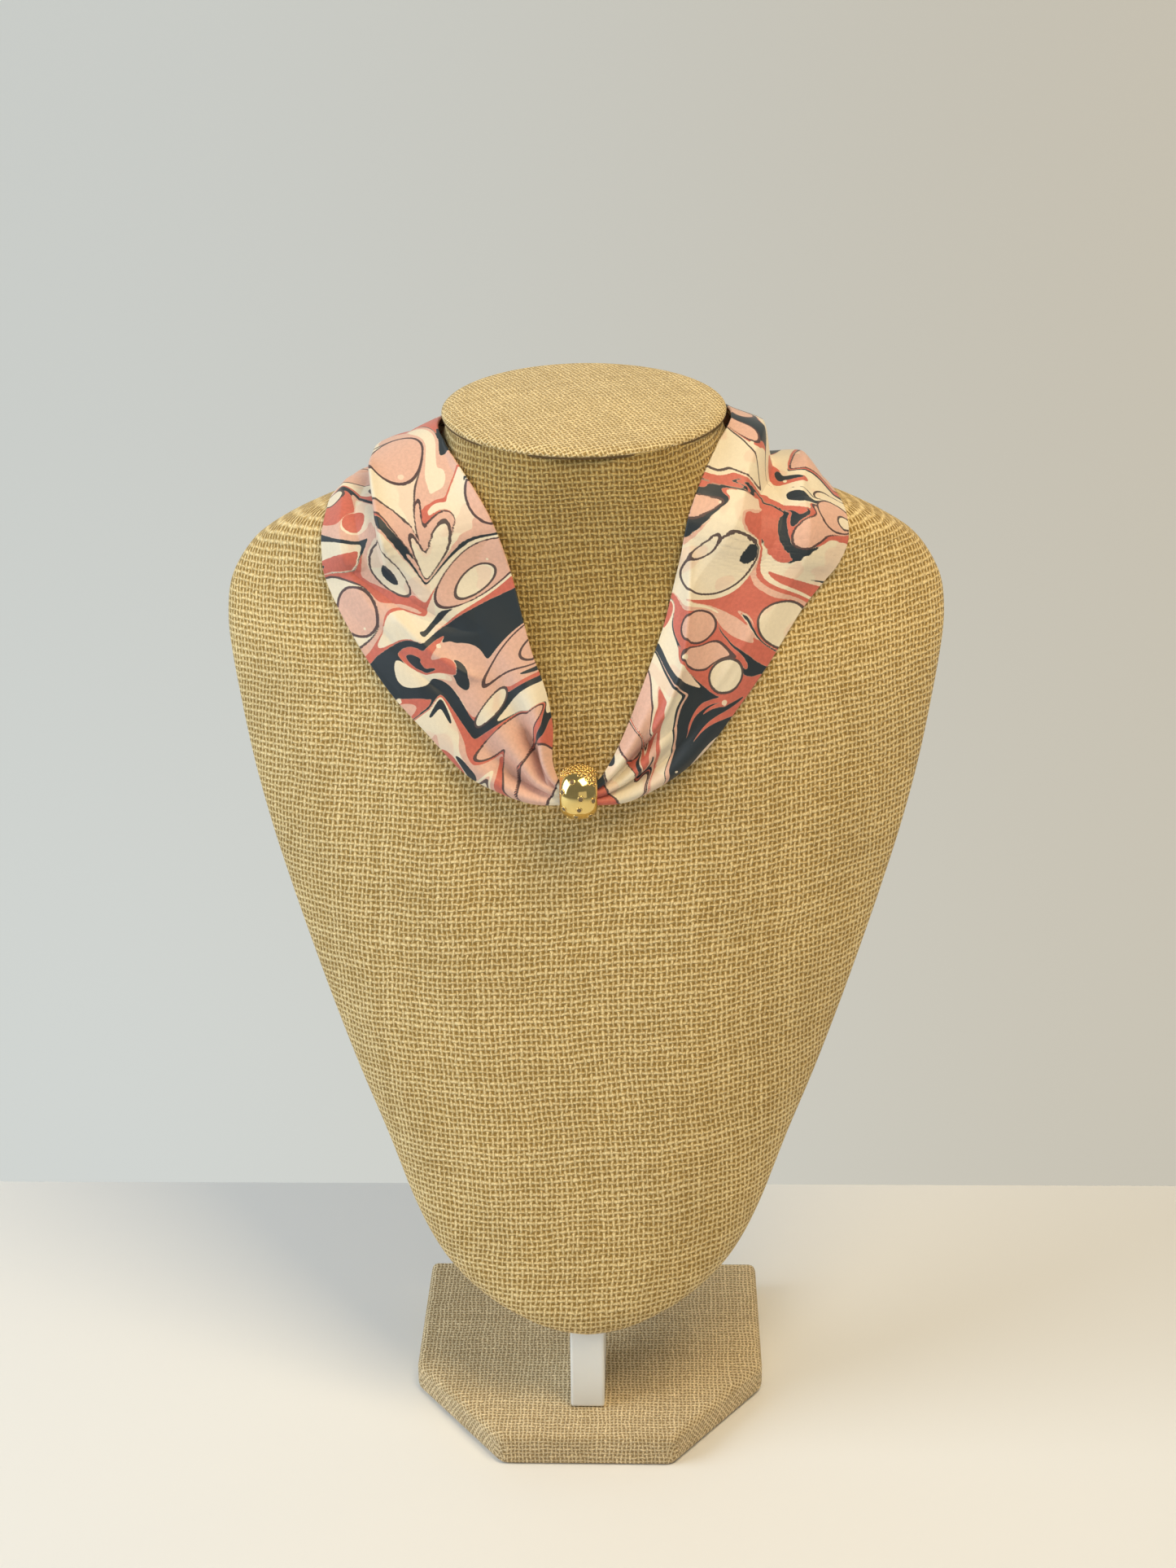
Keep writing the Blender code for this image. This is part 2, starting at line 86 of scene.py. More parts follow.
# Bust: half widths and front faces at each height, from the lower tip up to the neck
BODY_ROWS = (
    # height, half width, front
    (40.5, 10.0, -37.0),
    (43.0, 17.5, -38.8),
    (46.0, 25.3, -39.4),
    (50.0, 33.6, -39.5),
    (57.0, 43.3, -38.6),
    (66.0, 51.0, -37.1),
    (80.0, 58.4, -34.7),
    (100.0, 66.3, -31.2),
    (120.0, 74.6, -27.8),
    (140.0, 82.2, -24.5),
    (160.0, 89.3, -21.2),
    (180.0, 96.0, -18.0),
    (200.0, 102.2, -14.8),
    (220.0, 107.4, -11.4),
    (240.0, 111.4, -7.9),
    (258.0, 114.4, -4.0),
    (268.0, 115.0, -0.6),
    (277.0, 113.8, 2.6),
    (285.0, 109.6, 4.8),
    (291.0, 104.0, 5.8),
    (296.0, 96.6, 6.2),
    (300.0, 88.0, 6.2),
    (303.5, 77.5, 6.0),
    (307.0, 66.0, 5.8),
    (311.0, 56.5, 5.6),
    (316.0, 49.5, 5.4),
    (321.0, 45.6, 5.2),
    (325.5, 43.9, 5.1),
    (329.6, 43.3, 5.0),
)
ROW_STEPS = 5
BACK_FOOT_Y = 1.0
BACK_FOOT_Z = 40.0
BACK_SLOPE = 0.313
FLAT_SHARE = 0.45
SIDE_SLOPE = 0.42
SIDE_BLEND = 9.0
EDGE_SHARE = 0.24
NECK_EDGE_SHARE = 0.84
EDGE_DEPTH_SHARE = 0.17
SHOULDER_Z = 281.0
NECK_Z = 309.0
NECK_TIP_HEIGHTS = (300.0, 326.0)
BUST_TOP_Z = 329.0
BUST_SHARP_ANGLE = math.radians(50.0)
FACE_STEPS = 14
EDGE_STEPS = 12
BACK_FACE_STEPS = 8
BACK_TURN_IN = 7.0
BACK_TURN_MOST_SHARE = 0.4
BACK_TURN_THICKNESS = 0.7
BACK_TURN_EDGE = 0.5

# How the burlap was pulled over the bust, a little askew
WEFT_RISE = math.tan(math.radians(4.2))
WEFT_EASE = 0.4
WEFT_EASE_HEIGHTS = (285.0, 310.0)
CHEST_SPREAD = 0.058
CHEST_SPREAD_HEIGHTS = (185.0, 268.0)
NECK_LEAN = math.tan(math.radians(5.0))
NECK_LEAN_FROM_Z = 296.0
WARP_SWAY = 1.6
WARP_SWAY_LEVEL = 120.0
WARP_SWAY_LENGTH = 26.0
BACK_CLOTH_PLACE = 900.0
END_CLOTH_PLACE = 500.0

# Neck cap, and the dark seam under its rim
CAP_RADIUS = 45.1
CAP_THICKNESS = 2.5
CAP_CENTRE_Y = 48.0
CAP_TOP_Z = 332.9
CAP_TILT = math.radians(5.1)
CAP_SIDES = 128
CAP_CROWN = 1.6
CAP_CROWN_RINGS = (0.15, 0.35, 0.55, 0.75, 0.9)
CAP_ROLL = 6.5
CAP_ROLL_STEPS = 8
CAP_DROP = 1.9
CAP_UNDER_STEPS = 5
CAP_UNDER_SHARE = 0.8
CAP_UNDER_WIDTH = 6.0
CAP_CLOTH_TURN = math.radians(-24.0)
SEAM_RADIUS = 44.6
SEAM_DROP = 0.2
SEAM_CORD_RADIUS = 0.42
SEAM_CORD_SIDES = 8
SEAM_BROWN = (0.12, 0.075, 0.028)
SEAM_ROUGHNESS = 0.9
SEAM_ROUGH_UP = (0.0, 0.31, 0.95)

# Burlap: a plain weave of uneven threads. Widths are shares of the distance from thread to thread.
BURLAPS = {
    # material: warp and weft pitch, light and deep tone of the threads (painted highlight and painted
    # shade), tone of the gaps (painted shade)
    "burlap": (1.65, 2.0, (0.92, 0.735, 0.385), (0.475, 0.302, 0.082), (0.315, 0.19, 0.038)),
    "burlap_base": (1.35, 1.5, (0.92, 0.745, 0.46), (0.44, 0.315, 0.15), (0.33, 0.225, 0.095)),
    "burlap_cap": (1.4, 1.5, (0.94, 0.76, 0.42), (0.46, 0.325, 0.125), (0.34, 0.225, 0.07)),
}
THREAD_DRIFTS = (
    # scale of the drift's noise, reach in millimetres
    (0.06, 2.2),
    (0.38, 0.95),
    (1.5, 0.6),
)
THREAD_HALF_WIDTH = 0.15
THREAD_TONE_WIDTH = 0.05
THREAD_SLUB_WIDTH = 0.22
THREAD_ROUND_HEIGHT = 0.9
THREAD_WAVE_HEIGHT = 0.55
# Painted highlight and shade on each thread: sides darker, crown lighter, darker where it dips under the
# other set
THREAD_EDGE_PAINTED_SHADE = 0.35
THREAD_EDGE_POWER = 5.0
THREAD_GAP_DEPTH = 1.2
THREAD_LEAST_HEIGHT = 0.02
WARP_SEED = 3.0
WEFT_SEED = 11.0
SLUB_STEP = 7.3
SLUB_PACE = 0.4
SLUB_SCALE = 1.0
GRAIN_ACROSS = 6.0
GRAIN_ALONG = 1.1
GRAIN_SCALE = 2.0
LOOK_TONE = 0.3
LOOK_SLUB = 0.65
LOOK_GRAIN = 1.05
LOOK_WAVE_PAINTED_SHADE = 0.15
LOOK_RANGE = (0.15, 1.3)
GAP_RANGE = (-1.15, -0.5)
BURLAP_CLOUDS = (
    # noise scale, detail and roughness, darkest and palest shade
    (2.2, 3.0, 0.7, 0.74, 1.2),
    (0.035, 3.0, 0.5, 0.96, 1.04),
)
BURLAP_RELIEF = 0.00035
BURLAP_BUMP = 0.9
# Painted shade on the bust's neck and the V inside the scarf: a darker tint over a middle strip, growing
# from the lower height to the upper and kept above it
NECK_PAINTED_SHADE = (0.66, 0.62, 0.47)
NECK_PAINTED_SHADE_WIDTH = 32.0
NECK_PAINTED_SHADE_FADE = 14.0
NECK_PAINTED_SHADE_HEIGHTS = (215.0, 275.0)

# Base board and post
BASE_HEIGHT = 10.4
POST_WHITE = (0.86, 0.88, 0.88)

# Scarf ring
RING_CENTRE = (-0.9, -20.4, 226.2)
RING_LENGTH = 11.6
RING_RADIUS = 8.4
RING_BORE = 4.4
RING_END_RADIUS = 4.75
RING_PROFILE_STEPS = 40
RING_SIDES = 128
RING_SHARP_ANGLE = math.radians(40.0)
RING_GOLD = (0.88, 0.66, 0.25)
RING_ROUGHNESS = 0.08
RING_GRAIN = 300.0
LATTICE_PITCH = 1.45
LATTICE_ROW_SHARE = 0.87
LATTICE_RADIUS = 0.62
LATTICE_WIRE = 0.24
LATTICE_GOLD = (0.86, 0.62, 0.24)
LATTICE_ROUGHNESS = 0.2
LATTICE_GRAIN = 600.0
LATTICE_END_ROOM = 0.5
LATTICE_FROM = 64.0
LATTICE_DIP = 30.0
LATTICE_TO = 250.0
WIRE_STEPS = 12
WIRE_SIDES = 6
STUD_RADIUS = 0.84
STUD_WIRE = 0.2
STONE_INSET = 0.1
STONE_SIDES = 8
STONE_BROWN = (0.16, 0.10, 0.035)
STONE_SPECULAR = 0.9
STONE_LEVELS = (
    # height, share of the radius
    (-0.15, 1.0),
    (0.12, 0.95),
    (0.3, 0.5),
)
STUDS = (
    # place along the bore, angle up from straight ahead
    (-1.8, 44.0),
    (-4.9, 22.0),
    (0.8, 7.0),
    (4.6, 0.0),
    (0.3, -19.0),
    (-4.4, -24.0),
    (-0.8, -42.0),
    (3.6, -48.0),
    (-3.0, -70.0),
    (1.6, -88.0),
)

# Scarf: a flat two-layer silk band in one loop, its ends drawn into the ring
CLOTH = 1.0
CLOTH_OFF_BUST = 1.2
FOLD_CRISPNESS = 0.55
GATHER_WAVES = 2.5
GATHER_FIRST_CREST = 0.12
NECK_MIDDLE = (0.0, 48.0, 285.0)
BAND_FLAT_WIDTH = 57.0
LEFT_SECTIONS = (
    # inner x, y, z, outer x, y, z, crest at, up, valley at, up, roll at, up, gather
    (-1.1, -20.4, 229.0, -1.1, -20.4, 222.6, 0.20, 0.0, 0.50, 0.0, 0.80, 0.0, 0.5),
    (-6.8, -20.2, 229.3, -6.8, -20.4, 222.4, 0.20, 0.0, 0.50, 0.0, 0.80, 0.0, 0.6),
    (-9.6, -17.6, 235.5, -15.5, -18.0, 221.9, 0.20, 0.6, 0.45, 0.0, 0.80, 0.6, 1.7),
    (-9.6, -12.8, 245.0, -25.5, -14.6, 224.2, 0.20, 1.6, 0.42, 0.0, 0.80, 1.6, 2.6),
    (-11.6, -8.8, 255.0, -36.0, -12.4, 229.6, 0.20, 2.0, 0.42, 0.6, 0.78, 2.2, 1.7),
    (-15.6, -4.8, 265.5, -47.6, -9.0, 241.4, 0.20, 1.6, 0.44, 1.4, 0.76, 2.0, 0.6),
    (-18.8, -0.8, 277.0, -59.8, -3.0, 253.6, 0.24, 1.6, 0.50, 1.2, 0.76, 1.6, 0.0),
    (-22.0, 2.8, 289.0, -71.0, 5.4, 268.6, 0.42, 2.2, 0.64, 0.2, 0.80, 2.0, 0.0),
    (-26.0, 4.4, 301.0, -79.0, 14.6, 282.0, 0.54, 3.8, 0.66, -0.8, 0.84, 2.4, 0.0),
    (-31.0, 9.8, 310.5, -80.6, 18.0, 292.6, 0.57, 5.4, 0.66, -2.6, 0.85, 2.4, 0.0),
    (-38.0, 21.0, 318.6, -80.2, 24.0, 301.0, 0.57, 5.6, 0.67, -4.0, 0.86, 1.8, 0.0),
    (-46.4, 43.0, 325.2, -78.6, 41.0, 304.6, 0.52, 4.8, 0.71, -3.4, 0.87, 1.4, 0.0),
    (-41.4, 69.0, 324.4, -71.0, 66.0, 298.0, 0.50, 4.6, 0.70, -2.4, 0.86, 1.6, 0.0),
    (-26.0, 86.4, 322.5, -50.0, 87.6, 281.0, 0.46, 3.6, 0.68, 0.0, 0.84, 2.0, 0.0),
)
NAPE_SECTION = (0.0, 92.8, 321.5, 0.0, 95.4, 270.5, 0.44, 2.4, 0.64, 0.8, 0.82, 1.8, 0.0)
RIGHT_SECTIONS = (
    # the same columns
    (-0.7, -20.4, 229.0, -0.7, -20.4, 222.6, 0.20, 0.0, 0.50, 0.0, 0.80, 0.0, 0.5),
    (5.0, -20.2, 229.4, 5.0, -20.4, 222.4, 0.20, 0.0, 0.50, 0.0, 0.80, 0.0, 0.6),
    (10.0, -16.4, 235.5, 14.5, -17.6, 222.6, 0.20, 0.8, 0.45, 0.0, 0.80, 0.6, 1.7),
    (14.4, -12.0, 244.0, 27.0, -13.6, 228.0, 0.26, 3.4, 0.44, 0.4, 0.80, 1.6, 2.4),
    (18.2, -8.6, 253.6, 37.6, -10.8, 236.4, 0.31, 5.8, 0.54, 1.2, 0.80, 2.0, 1.4),
    (22.2, -4.6, 264.0, 47.6, -6.6, 248.8, 0.28, 5.8, 0.54, 1.6, 0.80, 1.8, 0.4),
    (25.8, -0.6, 274.0, 57.8, 0.0, 262.6, 0.18, 4.4, 0.50, 1.4, 0.80, 1.6, 0.0),
    (28.6, 3.0, 285.0, 66.8, 7.6, 275.2, 0.12, 2.8, 0.46, 1.0, 0.78, 2.2, 0.0),
    (31.0, 4.6, 296.0, 76.2, 14.6, 285.4, 0.20, 2.0, 0.50, 0.0, 0.76, 3.4, 0.0),
    (33.4, 9.6, 307.0, 81.0, 18.6, 292.8, 0.28, 3.2, 0.50, -1.2, 0.72, 4.0, 0.0),
    (38.8, 22.0, 318.6, 81.2, 25.0, 299.8, 0.26, 4.0, 0.47, -3.4, 0.66, 4.0, 0.0),
    (46.8, 43.0, 327.6, 78.4, 41.0, 304.2, 0.24, 3.6, 0.46, -3.6, 0.66, 4.2, 0.0),
    (42.0, 69.0, 326.4, 71.0, 66.0, 298.0, 0.30, 3.6, 0.50, -2.4, 0.70, 3.4, 0.0),
    (26.0, 86.6, 323.0, 50.0, 87.6, 281.0, 0.38, 3.0, 0.58, 0.0, 0.76, 2.4, 0.0),
)
LOOP_SECTIONS = np.array(LEFT_SECTIONS + (NAPE_SECTION,) + RIGHT_SECTIONS[::-1])
# Main creases, each a soft ridge or trough along a line of places on the band. A station is a row of
# LOOP_SECTIONS, and 14 is the nape. A low bluntness makes a pressed crease and a high one a soft fold.
CREASES = (
    # height, half width, bluntness, line of (station, across)
    (2.2, 0.045, 0.006,
     ((19.6, 0.02), (21.0, 0.09), (22.0, 0.17), (23.0, 0.29), (24.0, 0.33), (25.2, 0.30))),
    (-0.8, 0.060, 0.030, ((20.6, 0.30), (21.6, 0.36), (22.6, 0.44), (23.6, 0.50), (24.8, 0.52))),
    (0.9, 0.050, 0.020, ((21.0, 0.74), (22.2, 0.70), (23.4, 0.68), (24.6, 0.70), (25.6, 0.72))),
    (-1.9, 0.050, 0.015, ((24.4, 0.36), (25.2, 0.40), (26.0, 0.44), (26.7, 0.46))),
    (-1.2, 0.045, 0.015, ((24.9, 0.66), (25.6, 0.66), (26.4, 0.64), (26.9, 0.62))),
    (-1.0, 0.060, 0.030, ((18.6, 0.80), (17.8, 0.72), (17.2, 0.60), (16.4, 0.54))),
    (2.6, 0.050, 0.006, ((10.9, 0.55), (10.0, 0.57), (9.2, 0.57), (8.5, 0.56), (7.8, 0.62))),
    (-3.0, 0.050, 0.012, ((8.6, 0.90), (8.0, 0.80), (7.6, 0.70), (7.3, 0.58), (7.1, 0.44))),
    (-2.1, 0.042, 0.012, ((7.7, 0.76), (7.3, 0.66), (6.8, 0.54), (6.3, 0.40), (6.0, 0.26))),
    (1.9, 0.045, 0.012, ((7.5, 0.74), (6.9, 0.70), (6.2, 0.62), (5.5, 0.50), (4.9, 0.34))),
    (-1.3, 0.042, 0.014, ((7.3, 0.84), (6.5, 0.80), (5.7, 0.74), (5.0, 0.66))),
    (-3.0, 0.045, 0.012, ((3.9, 0.34), (3.2, 0.37), (2.4, 0.42), (1.5, 0.46))),
    (-1.8, 0.042, 0.014, ((3.6, 0.80), (2.9, 0.78), (2.1, 0.74), (1.4, 0.70))),
    (-0.9, 0.060, 0.030, ((10.8, 0.28), (12.0, 0.32), (13.4, 0.30), (14.8, 0.36), (16.0, 0.30))),
    (0.8, 0.055, 0.030, ((12.2, 0.58), (13.4, 0.62), (14.6, 0.56), (15.6, 0.60))),
    (-0.8, 0.050, 0.025, ((12.8, 0.86), (13.8, 0.80), (14.8, 0.82), (15.6, 0.76))),
)
CREASE_FADE = 0.7
STRETCHES = (
    # piece, solid that it stands for
    ("silk_left", "scarf_left"),
    ("silk_nape", "scarf_nape"),
    ("silk_right", "scarf_right"),
)
LIMB_STATIONS = 11.45
LOOP_STEPS = 2000
STATION_NUDGE = 0.05
TOUCHING = 0.05
LIMB_ROWS = 470
NAPE_ROWS = 290
BAND_COLUMNS = 168
INNER_SKIP = 6
EDGE_ARC_STEPS = 4

# Paints of the marbling
CREAM, BLUSH, CORAL, INK = range(4)
PAINTS = {
    "cream": (0.83, 0.74, 0.57),
    "blush": (0.76, 0.47, 0.37),
    "coral": (0.62, 0.16, 0.115),
    "ink": (0.022, 0.032, 0.042),
    "line": (0.055, 0.032, 0.038),
}
# The marbler's work goes in rounds, each of drops of paint and then strokes of a stylus or comb.
DROP_ROUNDS = (
    # paint, how many, least and largest radius, outline width
    (
        (CORAL, 64, 8.0, 14.0, 0.0),
        (BLUSH, 42, 7.0, 13.0, 0.0),
        (INK, 34, 3.0, 5.0, 0.0),
        (CREAM, 64, 7.0, 14.0, 0.0),
        (CORAL, 36, 5.0, 8.0, 0.0),
        (INK, 40, 2.4, 4.4, 0.0),
    ),
    (
        (BLUSH, 30, 6.0, 11.0, 0.5),
        (CREAM, 30, 5.5, 11.0, 0.5),
    ),
    (
        (INK, 18, 2.0, 3.4, 0.0),
        (CORAL, 17, 3.5, 6.5, 0.0),
        (BLUSH, 24, 5.0, 10.5, 0.5),
        (CREAM, 17, 3.0, 6.5, 0.5),
    ),
)
STROKE_ROUNDS = (
    # how many, least and largest pull, width and reach
    (30, 21.0, 32.0, 6.0, 9.0, 24.0, 34.0),
    (10, 10.0, 18.0, 5.0, 8.0, 24.0, 34.0),
    (14, 15.0, 23.0, 6.5, 9.5, 26.0, 36.0),
)
SPECK_COUNT = 50
SPECK_RADII = (0.4, 1.0)
MARBLING_SEED = 33
DROP_MARGIN = 10.0
FADE_FROM = 45.0
FADE_TO = 70.0
STROKE_BLUNTNESS = 0.8
READ_OFFSETS = (-0.75, -0.25, 0.25, 0.75)
EVEN_ROWS = 8
SPOT_TRIES = 8
RIB_TURNS = (22.0, 24.0)
RIB_HEIGHT = 0.06
SILK_RELIEF = 0.00008
SILK_BUMP = 0.5
PAINT_EDGE = (0.3, 0.7)
LINE_EDGE = (0.12, 0.36)
LINE_COVER = 0.94
MOTTLE_NOISE = (0.9, 4.0, 0.6)
MOTTLES = (
    # paint, range of the mottle, share of the tint where it is low
    ("cream", 0.35, 0.7, 0.95),
    ("blush", 0.3, 0.7, 0.88),
    ("coral", 0.3, 0.7, 0.86),
)
FINE_SCALE = 4.0
FINE_SHADES = (0.2, 0.8, 0.96, 1.03)
FINE_HEIGHT = 0.25
BEHIND_NOISE = (0.085, 1.0)
BEHIND_SHARES = (0.56, 0.6, 0.0, 0.34)

# Gold, paint and plain finishes
CLOUD_RANGE = (0.3, 0.7)
CLOUD_DETAIL = 3.0
GOLD_GLOSS_RANGE = (0.3, 0.8)
GOLD_WEAR = 0.06
GOLD_TONES = (0.35, 0.7)
GOLD_DEEP_SHARE = 0.9
GOLD_RELIEF = 0.00002
COAT_SCALE = 60.0
COAT_ROUGHNESS = (0.38, 0.5)
COAT_DEEP_SHARE = 0.96
COAT_GRAIN = 900.0
COAT_RELIEF = 0.00003
FINISH_BUMP = 0.3
PLAIN_SCALE = 3.0
PLAIN_RANGE = (0.2, 0.8)
PLAIN_DEEP_SHARE = 0.99


# Small helpers

def smooth_step(low, high, value):
    share = np.clip((value - low) / (high - low), 0.0, 1.0)
    return share * share * (3.0 - 2.0 * share)


def through_rows(table, places):
    """Smooth curves through the rows of a table, read at any places between them."""
    rows = np.asarray(table, float)
    places = np.asarray(places, float)
    last = len(rows) - 1
    index = np.minimum(places.astype(int), last - 1)
    share = (places - index)[..., None]
    before = rows[np.maximum(index - 1, 0)]
    start = rows[index]
    end = rows[index + 1]
    after = rows[np.minimum(index + 2, last)]
    return 0.5 * (
        2.0 * start
        + (end - before) * share
        + (2.0 * before - 5.0 * start + 4.0 * end - after) * share ** 2
        + (3.0 * start - before - 3.0 * end + after) * share ** 3
    )


def unit(vectors):
    return vectors / np.maximum(np.linalg.norm(vectors, axis=-1, keepdims=True), 1e-12)


def run_along(points):
    """Length from the first point of a line to each of its points."""
    return np.concatenate([[0.0], np.cumsum(np.linalg.norm(np.diff(points, axis=0), axis=1))])


def circle(steps):
    return [2.0 * math.pi * step / steps for step in range(steps)]


def quarter_turn(steps):
    return [0.5 * math.pi * step / steps for step in range(steps + 1)]


def ring_faces(rows, around, closed=False, flip=False, first=0):
    """Faces over rings of points, one ring a row. A closed set joins its last ring to its first."""
    faces = []
    for row in range(rows if closed else rows - 1):
        above = (row + 1) % rows
        for column in range(around):
            after = (column + 1) % around
            corners = [(row, column), (row, after), (above, after), (above, column)]
            if flip:
                corners[1], corners[3] = corners[3], corners[1]
            faces.append(tuple(first + r * around + c for r, c in corners))
    return faces


def add_piece(name, points, faces, material, smooth=True, sharp=None):
    """A new object with these points, which are in millimetres."""
    mesh = bpy.data.meshes.new(name)
    mesh.from_pydata((np.asarray(points) * MM).tolist(), [], faces)
    mesh.update()
    mesh.materials.append(material)
    if smooth:
        mesh.shade_smooth()
    if sharp:
        mesh.set_sharp_from_angle(angle=sharp)
    item = bpy.data.objects.new(name, mesh)
    bpy.context.scene.collection.objects.link(item)
    return item


def set_cloth_map(item, name, corner_places):
    """Places on the flat cloth in millimetres, one pair for each face corner."""
    layer = item.data.uv_layers.new(name=name)
    layer.uv.foreach_set("vector", np.asarray(corner_places, np.float32).ravel())


# Materials

class Nodes:
    """Short calls for building one material's node tree."""

    def __init__(self, name):
        self.material = bpy.data.materials.new(name)
        self.material.use_nodes = True
        self.tree = self.material.node_tree
        self.shader = self.tree.nodes["Principled BSDF"]

    def put(self, socket, value):
        if isinstance(value, bpy.types.NodeSocket):
            self.tree.links.new(value, socket)
        else:
            socket.default_value = value

    def set(self, **values):
        """The shader's own sockets, by name with _ for a space."""
        for key, value in values.items():
            self.put(self.shader.inputs[key.replace("_", " ")], value)

    def math(self, operation, first, second=0.0):
        node = self.tree.nodes.new("ShaderNodeMath")
        node.operation = operation
        self.put(node.inputs[0], first)
        self.put(node.inputs[1], second)
        return node.outputs[0]

    def plus(self, first, second):
        return self.math("ADD", first, second)

    def minus(self, first, second):
        return self.math("SUBTRACT", first, second)

    def times(self, first, second):
        return self.math("MULTIPLY", first, second)

    def vector(self, operation, first, second=(0.0, 0.0, 0.0), scale=1.0):
        node = self.tree.nodes.new("ShaderNodeVectorMath")
        node.operation = operation
        self.put(node.inputs[0], first)
        self.put(node.inputs[1], second)
        node.inputs[3].default_value = scale
        return node.outputs[0]

    def split(self, vector):
        node = self.tree.nodes.new("ShaderNodeSeparateXYZ")
        self.put(node.inputs[0], vector)
        return node.outputs[0], node.outputs[1], node.outputs[2]

    def join(self, x, y, z=0.0):
        node = self.tree.nodes.new("ShaderNodeCombineXYZ")
        for socket, value in zip(node.inputs, (x, y, z)):
            self.put(socket, value)
        return node.outputs[0]

    def noise(self, vector, scale, detail=2.0, roughness=0.5, output="Fac"):
        node = self.tree.nodes.new("ShaderNodeTexNoise")
        self.put(node.inputs["Vector"], vector)
        node.inputs["Scale"].default_value = scale
        node.inputs["Detail"].default_value = detail
        node.inputs["Roughness"].default_value = roughness
        return node.outputs[output]

    def white(self, vector):
        node = self.tree.nodes.new("ShaderNodeTexWhiteNoise")
        node.noise_dimensions = "3D"
        self.put(node.inputs["Vector"], vector)
        return node.outputs["Value"]

    def mix(self, share, first, second, blend="MIX"):
        node = self.tree.nodes.new("ShaderNodeMix")
        node.data_type = "RGBA"
        node.blend_type = blend
        self.put(node.inputs["Factor"], share)
        for socket, value in ((node.inputs[6], first), (node.inputs[7], second)):
            self.put(socket, (*value, 1.0) if isinstance(value, tuple) else value)
        return node.outputs[2]

    def shaded(self, colour, share):
        return self.mix(1.0, colour, self.join(share, share, share), "MULTIPLY")

    def mottled(self, cloud, low, high, tint, share):
        """The tint, and the given share of it where the cloud is low."""
        return self.mix(self.ramp(cloud, low, high), tuple(share * part for part in tint), tint)

    def ramp(self, value, low, high, to_low=0.0, to_high=1.0):
        node = self.tree.nodes.new("ShaderNodeMapRange")
        node.interpolation_type = "SMOOTHSTEP"
        for key, number in (
            ("Value", value), ("From Min", low), ("From Max", high), ("To Min", to_low), ("To Max", to_high)
        ):
            self.put(node.inputs[key], number)
        return node.outputs["Result"]

    def uv(self, name):
        node = self.tree.nodes.new("ShaderNodeUVMap")
        node.uv_map = name
        return node.outputs[0]

    def place(self):
        return self.tree.nodes.new("ShaderNodeTexCoord").outputs["Object"]

    def attribute(self, name, output="Fac"):
        node = self.tree.nodes.new("ShaderNodeAttribute")
        node.attribute_name = name
        return node.outputs[output]

    def bump(self, height, distance, strength):
        node = self.tree.nodes.new("ShaderNodeBump")
        node.inputs["Strength"].default_value = strength
        node.inputs["Distance"].default_value = distance
        self.put(node.inputs["Height"], height)
        self.put(self.shader.inputs["Normal"], node.outputs[0])


def cloth_over_board(n, top):
    """Places on a cloth laid over a flat board and folded straight down its sides."""
    coordinates = n.tree.nodes.new("ShaderNodeTexCoord")
    x, y, z = n.split(n.vector("SCALE", coordinates.outputs["Object"], scale=1.0 / MM))
    side_x, side_y, _ = n.split(coordinates.outputs["Normal"])
    down = n.minus(top, z)
    return n.join(n.plus(x, n.times(side_x, down)), n.plus(y, n.times(side_y, down)))


def drifted(n, flat):
    """Places on the cloth, moved about as its threads wander."""
    moved = flat
    for scale, reach in THREAD_DRIFTS:
        off = n.vector("SUBTRACT", n.noise(flat, scale, 1.0, output="Color"), (0.5, 0.5, 0.5))
        moved = n.vector("ADD", moved, n.vector("SCALE", off, scale=reach))
    return moved


def threads(n, place, number, along, seed, sign):
    """Height and tone of one set of threads, which goes over and under the other set. The tone holds a
    painted highlight on the crowns and painted shade on the sides and where the threads dip under.
    """
    tone = n.white(n.join(number, seed))
    slub = n.noise(n.join(n.times(number, SLUB_STEP), n.times(along, SLUB_PACE), seed), SLUB_SCALE)
    wider = n.plus(n.times(tone, THREAD_TONE_WIDTH), n.times(slub, THREAD_SLUB_WIDTH))
    off = n.math("DIVIDE", n.minus(n.math("FRACT", place), 0.5), n.plus(THREAD_HALF_WIDTH, wider))
    round_top = n.math("SQRT", n.math("MAXIMUM", n.minus(1.0, n.times(off, off)), 0.0))
    phase = n.plus(n.minus(along, 0.5), number)
    wave = n.times(n.math("COSINE", n.times(phase, math.pi)), sign)
    height = n.plus(n.times(round_top, THREAD_ROUND_HEIGHT), n.times(wave, THREAD_WAVE_HEIGHT))
    there = n.math("GREATER_THAN", round_top, THREAD_LEAST_HEIGHT)
    height = n.minus(n.times(n.plus(height, THREAD_GAP_DEPTH), there), THREAD_GAP_DEPTH)
    on_thread = n.join(n.times(place, GRAIN_ACROSS), n.times(along, GRAIN_ALONG), seed)
    grain = n.noise(on_thread, GRAIN_SCALE)
    look = n.plus(n.times(tone, LOOK_TONE), n.times(slub, LOOK_SLUB))
    look = n.plus(look, n.times(grain, LOOK_GRAIN))
    # Painted highlight on the thread's crown and painted shade on its sides; the wave adds painted shade
    # where it dips under
    crown = n.times(n.math("POWER", round_top, THREAD_EDGE_POWER), 1.0 - THREAD_EDGE_PAINTED_SHADE)
    return height, n.plus(n.times(look, n.plus(THREAD_EDGE_PAINTED_SHADE, crown)), n.times(wave, LOOK_WAVE_PAINTED_SHADE))


